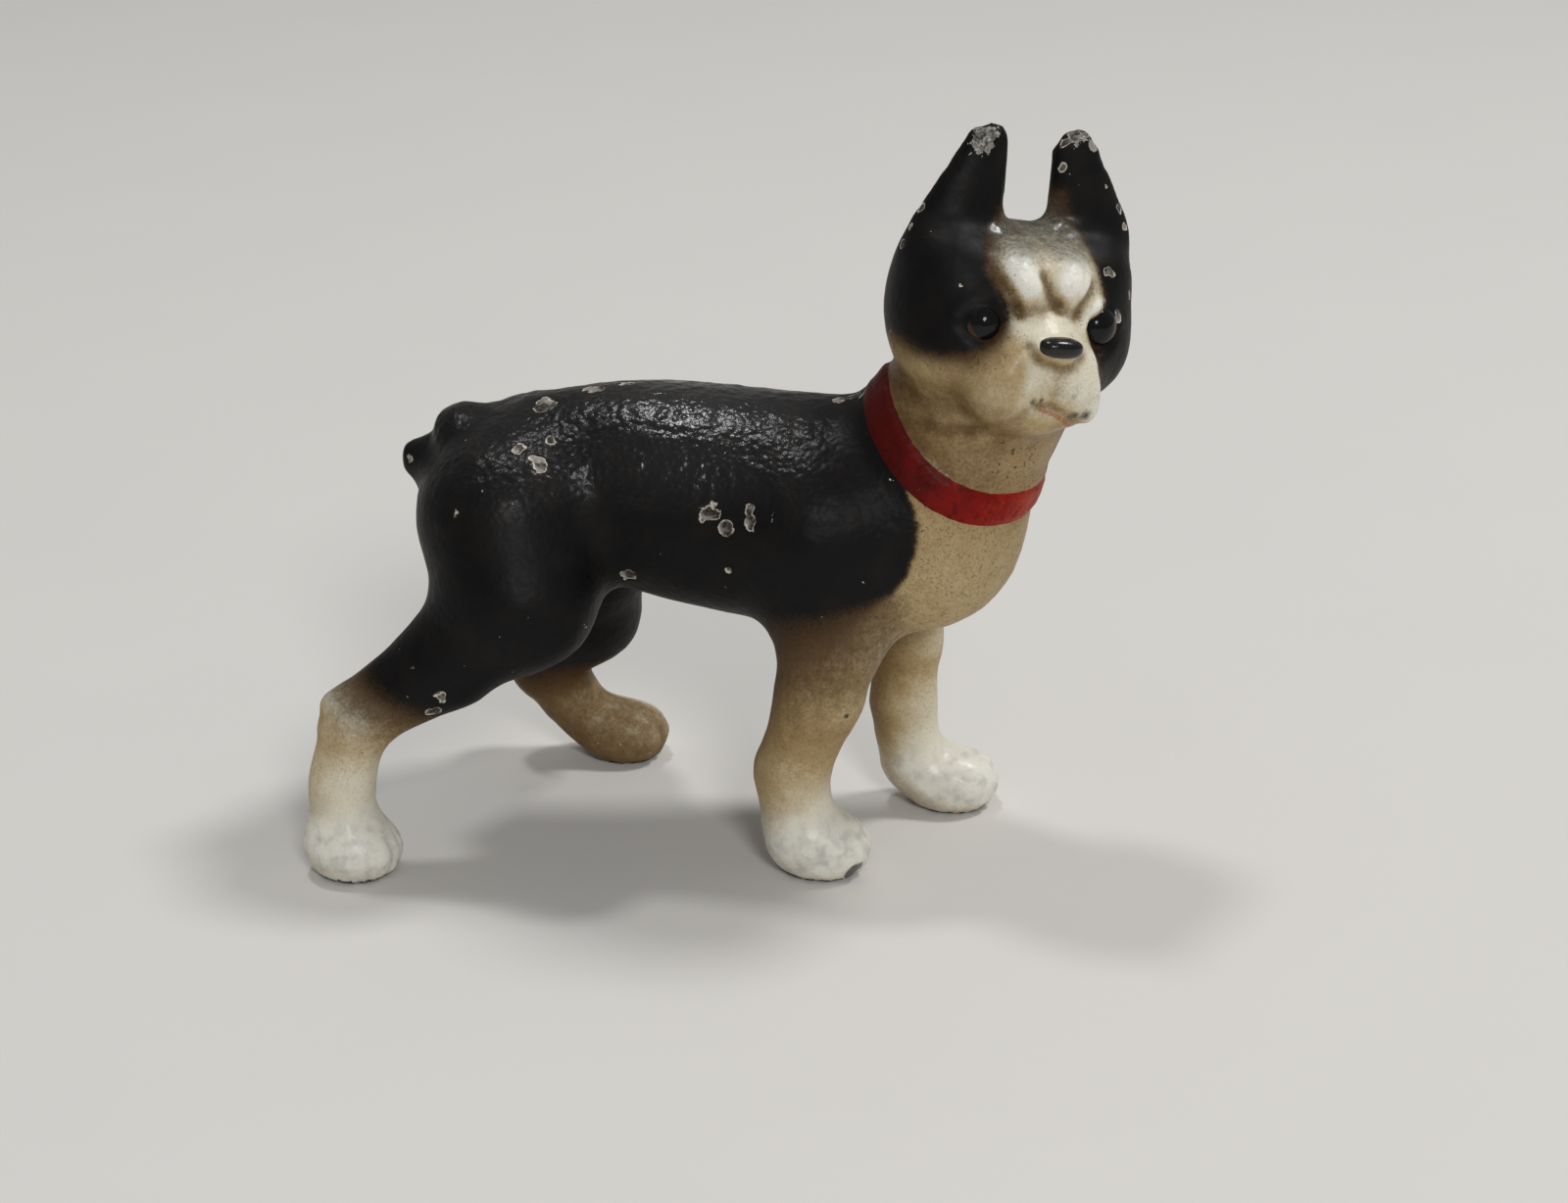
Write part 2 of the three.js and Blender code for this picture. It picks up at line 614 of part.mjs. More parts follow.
// The two halves
const drilled = casting
  .subtract(screwHole)
  .subtract(socket(FRONT_DOWEL_X))
  .subtract(socket(REAR_DOWEL_X));
const enamel = { color: 0x17161a, roughness: 0.32, metalness: 0.1 };
const darkSteel = { color: 0x2b2926, roughness: 0.5, metalness: 0.8 };
const brightSteel = { color: 0x8a8781, roughness: 0.35, metalness: 1 };
const pieces = {
  right_half: { body: drilled.subtract(beyond("y", LEFT)), finish: enamel },
  left_half: { body: drilled.subtract(beyond("y", RIGHT)), finish: enamel },
  clamp_screw: { body: screw, finish: darkSteel },
  front_dowel: { body: dowel(FRONT_DOWEL_X), finish: brightSteel },
  rear_dowel: { body: dowel(REAR_DOWEL_X), finish: brightSteel },
};

const paperweight = new THREE.Group();
for (const [name, { body, finish }] of Object.entries(pieces)) {
  const mesh = new THREE.Mesh(geometryOf(body), new THREE.MeshStandardMaterial(finish));
  mesh.name = name;
  paperweight.add(mesh);
}

// The origin lies on the table under the middle of the whole
const middle = new THREE.Box3().setFromObject(paperweight).getCenter(new THREE.Vector3());
paperweight.position.x = -middle.x;

export default paperweight;
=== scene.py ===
"""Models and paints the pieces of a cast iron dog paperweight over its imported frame, and sets a stage."""

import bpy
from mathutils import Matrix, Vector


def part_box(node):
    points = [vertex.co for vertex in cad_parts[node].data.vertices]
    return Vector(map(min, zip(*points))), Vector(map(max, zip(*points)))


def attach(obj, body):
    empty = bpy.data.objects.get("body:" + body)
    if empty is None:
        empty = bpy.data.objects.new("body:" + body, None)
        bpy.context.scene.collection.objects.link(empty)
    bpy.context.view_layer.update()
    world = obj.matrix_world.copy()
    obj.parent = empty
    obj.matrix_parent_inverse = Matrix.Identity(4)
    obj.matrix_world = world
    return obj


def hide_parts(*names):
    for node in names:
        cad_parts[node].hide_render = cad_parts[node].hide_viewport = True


bl_info = {
    "name": "Cast Iron Dog Paperweight",
    "version": (1, 1, 0),
    "blender": (4, 5, 0),
    "location": "3D View > Sidebar > Paperweight",
    "description": "Models and paints the pieces of a cast iron dog paperweight and sets a plain stage",
    "category": "Object",
}

import math

import bmesh
import bpy
import numpy as np
from bpy.props import FloatProperty, FloatVectorProperty, IntProperty, PointerProperty
from bpy.types import Operator, Panel, PropertyGroup
from mathutils import Matrix, Vector

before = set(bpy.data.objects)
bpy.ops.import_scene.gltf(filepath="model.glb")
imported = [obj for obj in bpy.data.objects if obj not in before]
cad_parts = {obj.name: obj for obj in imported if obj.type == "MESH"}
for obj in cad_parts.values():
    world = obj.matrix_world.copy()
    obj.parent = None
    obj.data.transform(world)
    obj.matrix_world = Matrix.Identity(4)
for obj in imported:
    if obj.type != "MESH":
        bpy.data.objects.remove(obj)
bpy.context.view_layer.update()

# Modelling is done in millimetres, in the row frame: the dog faces +X, its left is +Y and +Z is up
MM = 0.001

# The head's own frame: nose ahead, the dog's left, crown up
HEAD_MIDDLE = np.array((28.58, -0.3, 58.62))
HEAD_YAW, HEAD_ROLL = math.radians(-63), math.radians(-9)
HEAD_TURN = np.array(Matrix.Rotation(HEAD_YAW, 3, "Z") @ Matrix.Rotation(HEAD_ROLL, 3, "X"))
# How far ahead of the head's middle the face begins, and from where on it is all face
FACE_FRONT = (2.0, 4.5)
EYES = ((7.25, -5.65, 0.05), (7.2, 6.05, 0.35))
# The way the pupils look
GAZE = np.array((0.80, 0.30, 0.52))
NOSE = (12.68, 0.36, -0.54)
# Half the nose's depth, its height as a share of its width, and the power that squares it off
NOSE_DEPTH, NOSE_TALL, NOSE_SQUARING = 1.3, 0.44, 0.82

# The collar's axis up the neck from its foot, and how its middle line wanders round the neck
NECK_FOOT = np.array((20.8, 0.0, 38.5))
NECK_LEAN = math.radians(27)
NECK_AXIS = np.array((math.sin(NECK_LEAN), 0, math.cos(NECK_LEAN)))
COLLAR_RISE, COLLAR_SAG, COLLAR_DROP = 5.95, 1.4, 1.2
# Farther out than this, or farther back, is no neck
NECK_REACH = 16
NAPE_X = 12

PAWS = ((-35.5, -15.8), (11.9, -8.7), (-13.3, 15.8), (23.7, 8.7))
# Behind this are the hind legs
HIND_X = -4
# Lumps of the feet: height, size and seed
PAW_LUMPS = ((0.10, 2.6, 5), (0.05, 1.2, 6))
TOE_GROOVES = (-1.5, 0.1, 1.7)
TOE_GROOVE_WIDTH = 0.5
HOCKS = ((-37.9, -15.6, 18.9), (-22.3, 15.6, 17.6))
HOCK_EDGES = (((-39.0, -15.8, 15.5), (-38.8, -15.8, 8.5)), ((-20.5, 15.8, 14.0), (-18.0, 15.8, 8.5)))
HOCK_RISE, HOCK_EDGE_RISE, HOCK_WIDTH = 0.5, 0.42, 1.5

# Creases of the face as (left, up) points, with their depth and half width
FACE_CREASES = (
    (((-0.9, 5.2), (-0.5, 4.5), (-0.1, 3.6), (0.9, 2.7)), 0.34, 0.60),
    (((-3.6, 1.9), (-2.4, 2.0), (-1.0, 2.2), (0.3, 2.6), (1.5, 2.3), (2.7, 1.8)), 0.26, 0.60),
    (((-5.3, 4.9), (-4.2, 3.4), (-3.2, 1.9)), 0.42, 0.70),
    (((5.0, 4.6), (4.2, 3.7), (3.4, 2.8), (3.1, 1.9)), 0.32, 0.55),
    (((2.5, 3.4), (3.0, 4.6), (3.5, 5.9)), 0.14, 0.28),
    (((-2.7, -0.8), (-1.5, -2.1), (0.6, -2.7), (1.9, -2.6), (3.2, -1.5)), 0.30, 0.42),
    (((0.6, -3.4), (0.5, -6.2)), 0.14, 0.40),
    (((-5.1, -11.1), (-4.0, -10.4), (-3.3, -9.0), (-2.2, -7.7), (-0.7, -6.7)), 0.10, 0.40),
    (((-0.7, -6.7), (1.1, -6.8), (3.2, -7.8), (4.6, -8.3)), 0.26, 0.40),
    (((-9.4, -11.2), (-6.7, -11.4), (-4.6, -11.0)), 0.24, 0.50),
    (((5.0, 0.8), (5.7, -0.6), (5.9, -1.9), (6.1, -3.1), (6.6, -4.2), (6.9, -5.8)), 0.42, 0.60),
)
# Bulges of the face: place, half width and height
FACE_BULGES = (
    ((-2.4, 4.1), 1.3, 0.55),
    ((-3.6, 5.7), 1.3, 0.30),
    ((1.8, 4.7), 1.7, 0.50),
    ((5.3, 2.7), 0.9, 0.34),
    ((-4.7, 2.6), 0.8, 0.25),
    ((-2.9, -5.0), 2.3, 0.12),
    ((3.2, -5.0), 2.1, 0.22),
    ((0.4, -9.6), 1.8, 0.20),
    ((5.3, -7.5), 1.5, 0.60),
)
# Lids of the right eye with their height; the left eye's are their mirror image
LIDS = (
    (((-8.7, 0.6), (-7.8, 2.0), (-6.4, 2.75), (-5.0, 2.5), (-4.1, 1.2)), 0.15),
    (((-8.4, -1.0), (-7.3, -2.2), (-6.0, -2.5), (-4.7, -1.6)), 0.07),
)
LID_WIDTH = 0.6
EAR_ROOT_RISE, EAR_ROOT_WIDTH = 0.3, 0.8
EAR_ROOT_BUMPS = ((27.9, -3.1, 66.9), (33.8, 0.6, 66.2))

# The cream of the face as (left, up) points; everything round it is black
FACE_CREAM = (
    (-1.6, 10.6), (-3.0, 8.7), (-4.5, 7.5), (-5.5, 6.3), (-5.6, 5.0), (-4.9, 3.6), (-4.0, 2.4), (-3.9, 1.2),
    (-4.4, 0.0), (-5.2, -1.1), (-6.3, -2.1), (-7.6, -3.0), (-9.5, -3.6), (-11.1, -3.6), (-13.0, -2.6),
    (-16.0, -2.4), (-16.0, -20.0), (16.0, -20.0), (16.0, -9.0), (9.0, -8.0), (7.2, -7.0), (6.5, -5.6),
    (6.2, -4.1), (5.8, -3.1), (5.6, -1.9), (5.5, -0.8), (5.1, 0.2), (5.0, 1.2), (5.9, 2.0), (6.4, 3.2),
    (6.0, 5.4), (5.6, 6.7), (5.4, 8.0), (4.1, 9.2), (3.4, 11.4), (2.4, 11.0), (1.4, 10.6),
)
LIP = ((-0.2, -7.0), (1.2, -7.3), (2.6, -8.1), (3.7, -8.7))
# Dark spots round the mouth: place and size
MOUTH_DIRT = (
    ((3.3, -7.3), 0.6), ((4.4, -7.2), 0.7), ((-0.5, -5.9), 0.35), ((2.6, -5.2), 0.25), ((-1.3, -6.1), 0.5),
)

# The black of the body on each side as (ahead, up) points
BACK_BLACK_RIGHT = (
    (20.0, 60.0), (20.2, 42.1), (20.9, 40.5), (21.4, 38.9), (21.2, 36.7), (20.4, 33.9), (18.9, 31.9),
    (16.7, 30.4), (13.6, 29.0), (10.3, 28.0), (8.4, 27.0), (7.2, 25.0), (6.2, 22.0), (3.0, 16.0),
    (-10.0, 12.0), (-24.0, 15.5), (-37.0, 23.0), (-46.0, 27.0), (-46.0, 60.0),
)
BACK_BLACK_LEFT = (
    (20.0, 60.0), (20.6, 42.1), (21.6, 38.9), (21.8, 36.7), (21.6, 33.9), (21.0, 31.9), (19.5, 30.6),
    (17.0, 30.2), (14.0, 30.2), (12.4, 28.5), (11.4, 26.0), (6.0, 16.0), (-6.0, 12.0), (-12.0, 13.0),
    (-23.0, 11.0), (-46.0, 24.0), (-46.0, 60.0),
)

# Chips in the enamel: place and size
BODY_CHIPS = (
    (-17.2, -2.0, 46.9, 1.5), (-12.5, -0.3, 48.2, 1.2), (-9.4, 0.6, 48.5, 0.8), (-18.5, -8.6, 44.4, 0.8),
    (-16.4, -9.7, 43.3, 1.1), (-15.6, -7.1, 44.9, 0.6), (-23.8, -14.0, 39.2, 0.45), (0.7, -11.0, 39.5, 1.2),
    (2.6, -11.5, 38.1, 0.8), (5.1, -12.1, 38.9, 0.9), (4.9, -11.5, 40.2, 0.6), (2.7, -11.2, 33.6, 0.4),
    (-8.1, -8.3, 31.2, 1.0), (-28.4, -17.4, 23.8, 0.6), (-25.4, -17.2, 20.4, 0.95), (-26.5, -16.0, 18.6, 0.8),
    (12.2, 0.2, 48.1, 1.2), (13.6, 0.3, 48.5, 1.1), (14.8, -0.6, 48.6, 0.8), (-31.6, -1.8, 40.2, 0.5),
    (-31.9, 0.5, 41.0, 0.6), (-6.0, 10.6, 41.5, 0.9), (8.5, 11.6, 39.0, 0.7), (-20.5, 11.2, 40.0, 0.8),
    (-16.0, 17.0, 24.0, 0.6), (14.0, 10.8, 43.0, 0.5), (-26.0, 6.5, 43.5, 0.6),
)
HEAD_CHIPS = (
    (24.9, -9.7, 63.2, 0.22), (20.4, -3.5, 69.1, 0.7), (19.5, -4.6, 67.3, 0.55), (18.8, -4.9, 65.7, 0.6),
    (33.7, 2.2, 74.3, 0.75), (34.9, 3.3, 75.2, 0.8), (36.4, 3.4, 73.9, 0.65), (33.4, 1.7, 72.0, 0.55),
    (37.8, 3.6, 69.8, 0.45), (39.1, 4.4, 67.3, 0.55), (39.7, 4.4, 65.5, 0.5), (40.3, 3.0, 62.2, 0.6),
    (38.6, -1.8, 62.7, 0.75), (40.5, 0.4, 60.0, 0.6), (39.5, -3.4, 58.8, 0.7), (20.0, 7.2, 63.0, 0.5),
    (31.0, 9.4, 64.0, 0.45), (22.5, 1.6, 72.5, 0.5),
)
# Ear tips rubbed down to the iron: place and reach
EAR_TIPS = ((26.2, -1.9, 75.7, 2.3), (35.0, 3.0, 75.0, 1.7))
# The side of the painted light: cream facing it is painted whiter, cream facing away gets painted shade
PAINTED_LIGHT = np.array((0.45, -0.25, 0.86))
# Small black marks: place and size
BLACK_NICKS = ((14.7, -12.0, 18.9, 0.32), (15.6, -11.0, 1.0, 1.3), (-37.4, -15.4, 18.9, 0.5))
# The middle of the pitted skin at the throat
THROAT_PITS = (31.0, -7.5, 45.0)
# A distance for what lies outside every chip or off the neck
FAR_OUTSIDE = -9.0

# Shades that belong to one finish only
# The bulge cream is a painted highlight
HIGHLIT_BULGE_CREAM = (0.88, 0.865, 0.78)
PAW_CREAM = (0.86, 0.85, 0.78)
NAPE_RED = (0.07, 0.0020, 0.0012)
# The throat red is a painted highlight on the collar
THROAT_HIGHLIGHT_RED = (0.40, 0.042, 0.006)
DIRTY_RED = (0.035, 0.002, 0.0015)
WARM_BLACK = (0.0105, 0.0078, 0.0050)
CHIP_IRON = (0.030, 0.024, 0.018)
GREY_IRON = (0.38, 0.36, 0.32)
RUBBED_DARK = (0.030, 0.027, 0.024)
RUBBED_PALE = (0.18, 0.177, 0.168)
SOLE_BLACK = (0.020, 0.016, 0.012)
FILED_IRON = (0.30, 0.275, 0.245)
RUST = (0.115, 0.052, 0.024)
DULL_STEEL = (0.22, 0.20, 0.18)
GROUND_STEEL = (0.26, 0.25, 0.235)
FLOOR_SHADE = (0.73, 0.715, 0.69)

# Material slots of a casting after the first, which is the enamel's
EYE_SLOT, BARE_SLOT, NOSE_SLOT = 1, 2, 3


def length(name, description, default, low, high, precision):
    return FloatProperty(
        name=name, description=description, default=default, min=low, max=high,
        unit="LENGTH", precision=precision)


def power(name, description, default):
    return FloatProperty(
        name=name, description=description, default=default, min=0.0, max=50.0, unit="POWER")


def colour(name, description, default):
    return FloatVectorProperty(
        name=name, description=description, default=default, min=0.0, max=1.0, size=3, subtype="COLOR")


class CastingSizes(PropertyGroup):
    """Sizes of what is modelled on the two castings"""

    skin_step: length("Skin Step", "Spacing of the points on the cast skin", 0.00029, 0.0002, 0.002, 5)
    eye_diameter: length("Eye Diameter", "Diameter of the round eyes", 0.0046, 0.002, 0.006, 4)
    nose_width: length("Nose Width", "Width of the oval nose", 0.0044, 0.002, 0.007, 4)
    collar_width: length("Collar Width", "Width of the collar round the neck", 0.0035, 0.002, 0.006, 4)
    collar_raise: length("Collar Raise", "How far the collar stands out", 0.00028, 0.0, 0.001, 5)
    toe_depth: length("Toe Depth", "Depth of the grooves between the toes", 0.0003, 0.0, 0.001, 5)
    grain_height: length("Grain Height", "Height of the cast sand grain", 0.00004, 0.0, 0.0002, 6)
    chip_depth: length("Chip Depth", "Thickness of the chipped enamel", 0.0001, 0.0, 0.0004, 6)
    grain_seed: IntProperty(
        name="Grain Seed", description="Seed of the cast grain and of the chips", default=11, min=0)


class PaintColours(PropertyGroup):
    """Colours of the enamel and of the bare metal"""

    black: colour("Black", "Enamel of the back, ears and eye patches", (0.0040, 0.0039, 0.0046))
    cream: colour("Cream", "Enamel of the face, chest and feet", (0.76, 0.715, 0.57))
    tan: colour("Tan", "Cream that has begun to yellow", (0.47, 0.35, 0.18))
    # Aged cream is also the painted shade on the neck under the head, under the jaw and on the sides facing
    # away from the painted light
    aged_and_shaded: colour("Aged Cream", "Cream at its yellowest, on the neck and the legs", (0.25, 0.155, 0.062))
    smudge: colour("Smudge", "Grey smudges on the feet", (0.40, 0.40, 0.365))
    # Brown is also the painted shade in the creases, on the far cheek, under the head and jaw and on the legs
    brown: colour("Brown", "Airbrushed shading between the black and the cream", (0.085, 0.044, 0.015))
    red: colour("Collar Red", "Enamel of the collar", (0.26, 0.0035, 0.0012))
    lip: colour("Lip", "Thin red on the mouth", (0.36, 0.095, 0.045))
    iris: colour("Eye Brown", "Dark brown of the eyes round the black pupils", (0.045, 0.018, 0.008))
    # Primer round the chips also stands in partly for a painted highlight on their edges
    primer_and_edge_highlight: colour("Primer", "Pale edge left round a chip", (0.66, 0.62, 0.55))
    bare_iron: colour("Bare Iron", "Iron showing in chips and on the joint faces", (0.115, 0.100, 0.085))
    steel: colour("Steel", "Screw and dowels", (0.36, 0.35, 0.33))
    grime: colour("Grime", "Dirt lying in hollows and pores", (0.050, 0.034, 0.018))


class StageSettings(PropertyGroup):
    """Floor, lamps and camera"""

    floor: colour("Floor", "Plain floor", (0.76, 0.745, 0.715))
    sky: FloatProperty(
        name="Sky", description="Strength of the even light from all round",
        default=0.24, min=0.0, max=2.0)
    key: power("Key Lamp", "Power of the lamp above the head", 5.0)
    top: power("Top Lamp", "Power of the lamp above the back", 2.2)
    front: power("Front Lamp", "Power of the lamp in front and above", 5.0)
    lens: FloatProperty(
        name="Lens", description="Focal length of the camera",
        default=70.65, min=20.0, max=300.0, unit="CAMERA")


# Numbers over many points

def eased(low, high, value):
    """0 below low, 1 above high, smooth between."""
    share = np.clip((value - low) / (high - low), 0, 1)
    return share * share * (3 - 2 * share)


def bump(distance, width):
    """1 at no distance, falling smoothly to 0 past the width."""
    return np.exp(-((distance / width) ** 2))


def grain(points, cell, seed):
    """Smooth noise from -1 to 1 over points, with the given cell size."""
    scaled = points / cell
    base = np.floor(scaled).astype(np.int64)
    part = scaled - base
    part = part * part * (3 - 2 * part)
    total = np.zeros(len(points))
    for corner in range(8):
        step = np.array((corner & 1, corner >> 1 & 1, corner >> 2))
        at = (base + step).astype(np.uint32)
        mixed = at[:, 0] * np.uint32(73856093) ^ at[:, 1] * np.uint32(19349663)
        mixed = mixed ^ at[:, 2] * np.uint32(83492791) ^ np.uint32(seed * 40503 & 0xFFFFFFFF)
        mixed = (mixed ^ mixed >> np.uint32(15)) * np.uint32(2246822519)
        mixed = (mixed ^ mixed >> np.uint32(13)) * np.uint32(3266489917)
        value = (mixed >> np.uint32(16)) / 32767.5 - 1
        total += np.prod(np.where(step, part, 1 - part), axis=1) * value
    return total


def far_from(points, place):
    return np.linalg.norm(points - place, axis=1)


def line_distance(points, line):
    """Distance of each point from a line of straight stretches, in as many axes as the points have."""
    best = np.full(len(points), np.inf)
    for a, b in zip(np.array(line[:-1], float), np.array(line[1:], float)):
        along = b - a
        share = np.clip((points - a) @ along / (along @ along), 0, 1)
        best = np.minimum(best, np.linalg.norm(points - a - share[:, None] * along, axis=1))
    return best


def inside_distance(points, outline):
    """Distance from a closed outline, positive inside it."""
    ring = np.array(outline + outline[:1], float)
    inside = np.zeros(len(points), bool)
    for (ax, ay), (bx, by) in zip(ring[:-1], ring[1:]):
        if ay == by:
            continue
        crosses = (points[:, 1] > min(ay, by)) & (points[:, 1] <= max(ay, by))
        inside ^= crosses & (points[:, 0] < ax + (points[:, 1] - ay) * (bx - ax) / (by - ay))
    distance = line_distance(points, ring)
    return np.where(inside, distance, -distance)


def head_places(points):
    """Points in the head's frame: ahead, left and up."""
    return (points - HEAD_MIDDLE) @ HEAD_TURN


def collar_places(points):
    """Each point's height above the collar's middle line, turn round the neck and distance from its axis."""
    away = points - NECK_FOOT
    along = away @ NECK_AXIS
    forward = away @ np.array((NECK_AXIS[2], 0, -NECK_AXIS[0]))
    turn = np.arctan2(away[:, 1], forward)
    middle = COLLAR_RISE + COLLAR_SAG * np.cos(2 * turn) - COLLAR_DROP * np.cos(turn)
    return along - middle, turn, np.hypot(forward, away[:, 1])


# Meshes

def read_all(items, name, width=1, kind=float):
    """A value of every item as an array, with a row for each item where it holds several numbers."""
    values = np.empty(len(items) * width, kind)
    items.foreach_get(name, values)
    return values if width == 1 else values.reshape(-1, width)


def mesh_arrays(mesh):
    return read_all(mesh.vertices, "co", 3), read_all(mesh.edges, "vertices", 2, np.int32)


def set_points(mesh, points):
    mesh.vertices.foreach_set("co", np.ascontiguousarray(points).ravel())
    mesh.update()


def point_normals(mesh):
    return read_all(mesh.vertex_normals, "vector", 3)


def neighbour_mean(points, edges):
    a, b = edges[:, 0], edges[:, 1]
    count = np.bincount(edges.ravel(), minlength=len(points))
    mean = np.empty_like(points)
    for axis, values in enumerate(points.T):
        mean[:, axis] = np.bincount(a, values[b], len(points)) + np.bincount(b, values[a], len(points))
    return mean / np.maximum(count, 1)[:, None]


def new_object(name, mesh):
    piece = bpy.data.objects.new(name, mesh)
    bpy.context.scene.collection.objects.link(piece)
    return piece


def after_modifiers(piece):
    """The piece's mesh with its modifiers applied; the piece itself is removed."""
    bpy.context.view_layer.update()
    shaped = piece.evaluated_get(bpy.context.evaluated_depsgraph_get())
    mesh = bpy.data.meshes.new_from_object(shaped)
    bpy.data.objects.remove(piece)
    return mesh


def cut_away(mesh, tool):
    """The mesh less the tool's mesh."""
    body = new_object("cut_body", mesh)
    cutter = new_object("cut_tool", tool)
    cut = body.modifiers.new("cut", "BOOLEAN")
    cut.operation = "DIFFERENCE"
    cut.solver = "MANIFOLD"
    cut.object = cutter
    result = after_modifiers(body)
    bpy.data.objects.remove(cutter)
    if not result.polygons:
        raise RuntimeError("a cut left nothing of the casting")
    return result


def turned_profile(into, profile, x, z, sides=64):
    """Adds a closed turned shape lying along Y, from (radius, y) points."""
    angles = [2 * math.pi * n / sides for n in range(sides)]
    rings = []
    for radius, y in profile:
        ring = [(x + radius * math.cos(a), y, z + radius * math.sin(a)) for a in angles]
        rings.append([into.verts.new(point) for point in ring])
    for low, high in zip(rings[:-1], rings[1:]):
        for n in range(sides):
            m = (n + 1) % sides
            into.faces.new((low[n], high[n], high[m], low[m]))
    into.faces.new(rings[0])
    into.faces.new(rings[-1][::-1])


def finished_mesh(shape, name):
    bmesh.ops.recalc_face_normals(shape, faces=shape.faces)
    mesh = bpy.data.meshes.new(name)
    shape.to_mesh(mesh)
    shape.free()
    return mesh


def block_mesh(name, low, high):
    shape = bmesh.new()
    bmesh.ops.create_cube(shape, size=1)
    low, high = Vector(low), Vector(high)
    for vertex in shape.verts:
        vertex.co = (low + high) / 2 + Vector(a * b for a, b in zip(vertex.co, high - low))
    return finished_mesh(shape, name)


def node_box(name):
    """A CAD node's lowest and highest corner, in millimetres."""
    return tuple(np.array(corner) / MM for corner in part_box(name))


# The castings

SCREW_LOW, SCREW_HIGH = node_box("clamp_screw")
SCREW_X, _, SCREW_Z = (SCREW_LOW + SCREW_HIGH) / 2
SCREW_HEAD_RADIUS, SCREW_SHANK_RADIUS, SCREW_HEAD_RIM = 3.7, 2.0, 0.5
SCREW_PITCH, SCREW_THREAD_DEPTH = 0.7, 0.3
SLOT_HALF_WIDTH, SLOT_DEPTH = 0.5, 1.1
DOWELS = ("front_dowel", "rear_dowel")
DOWEL_SIDES = 48
FIT_GAP, END_GAP = 0.3, 0.6
SHARP_ANGLE = math.radians(30)


def iron_stock(step):
    """Both CAD halves as one closed body with an even skin, with the screw hole filled."""
    shape = bmesh.new()
    for name in ("right_half", "left_half"):
        shape.from_mesh(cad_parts[name].data)
    bmesh.ops.scale(shape, verts=shape.verts, vec=Vector((1, 1, 1)) / MM)
    bmesh.ops.remove_doubles(shape, verts=shape.verts, dist=1e-5)
    plug = SCREW_HEAD_RADIUS + 2 * FIT_GAP
    turned_profile(shape, ((plug, SCREW_LOW[1] - 2), (plug, SCREW_HIGH[1] - FIT_GAP)), SCREW_X, SCREW_Z)
    mesh = bpy.data.meshes.new("stock")
    shape.to_mesh(mesh)
    shape.free()
    stock = new_object("stock", mesh)
    even = stock.modifiers.new("even", "REMESH")
    even.mode = "VOXEL"
    even.voxel_size = step
    return after_modifiers(stock)


def rounded_off(points, edges):
    """Takes the facets of the CAD skin out of the points and keeps its larger forms, less over the head."""
    above, _, _ = collar_places(points)
    pull, less_on_head = 0.5, 0.36
    share = (pull - less_on_head * eased(1.5, 5, above) * (points[:, 0] > NAPE_X))[:, None]
    rounds, returns = 37, 2

    def averaged(values):
        for _ in range(rounds):
            values = values + share * (neighbour_mean(values, edges) - values)
        return values

    smooth = averaged(points)
    for _ in range(returns):
        smooth = smooth + averaged(points - smooth)
    return smooth


def face_relief(points):
    """Creases, bulges and lids of the face, in millimetres out of the skin."""
    ahead, left, up = head_places(points).T
    spot = np.stack((left, up), axis=1)
    relief = np.zeros(len(points))
    for line, depth, width in FACE_CREASES:
        relief -= depth * bump(line_distance(spot, line), width)
    for middle, width, height in FACE_BULGES:
        relief += height * bump(far_from(spot, middle), width)
    for side in (1, -1):
        for lid, height in LIDS:
            relief += height * bump(line_distance(spot * (side, 1), lid), LID_WIDTH)
    relief *= eased(*FACE_FRONT, ahead)
    for place in EAR_ROOT_BUMPS:
        relief += EAR_ROOT_RISE * bump(far_from(points, place), EAR_ROOT_WIDTH)
    return relief


def paw_relief(points, depth):
    """Soft grooves between the toes, and the lumps of the feet."""
    lumps = sum(height * grain(points, size, seed) for height, size, seed in PAW_LUMPS)
    relief = lumps * (1 - eased(6, 12, points[:, 2]))
    for x, y in PAWS:
        ahead, across = points[:, 0] - x, points[:, 1] - y
        near = (np.abs(ahead) < 7) & (np.abs(across) < 6) & (points[:, 2] < 8)
        reach = eased(1.8, 4.0, ahead) * (1 - eased(3.6, 5.4, points[:, 2])) * near
        for toe in TOE_GROOVES:
            relief -= depth * reach * bump(across - toe, TOE_GROOVE_WIDTH)
    return relief


def leg_relief(points):
    """The point of each hock and the straight back edge of the hind leg below it."""
    relief = np.zeros(len(points))
    for place in HOCKS:
        relief += HOCK_RISE * bump(far_from(points, place), HOCK_WIDTH)
    for line in HOCK_EDGES:
        relief += HOCK_EDGE_RISE * bump(line_distance(points, line), HOCK_WIDTH)
    return relief


def chip_distance(points, seed):
    """Distance inside the nearest chip: a flake with flat sides at random angles and a ragged edge."""
    dice = np.random.default_rng(seed)
    sides = 8
    best = np.full(len(points), FAR_OUTSIDE)
    ragged = grain(points, 0.7, seed) + 0.7 * grain(points, 0.35, seed + 1)
    for *place, size in BODY_CHIPS + HEAD_CHIPS:
        facing = dice.normal(size=(sides, 3))
        facing /= np.linalg.norm(facing, axis=1)[:, None]
        reach = size * dice.uniform(0.5, 0.95, sides)
        away = points - place
        flake = np.min(reach - away @ facing.T, axis=1) + 0.3 * size * ragged
        best = np.maximum(best, np.minimum(flake, 1.1 * size - np.linalg.norm(away, axis=1)))
    return best


def back_share(points):
    """1 along the top of the back, 0 below it and on the neck."""
    return eased(38, 44, points[:, 2]) * (1 - eased(7, 15, points[:, 0]))


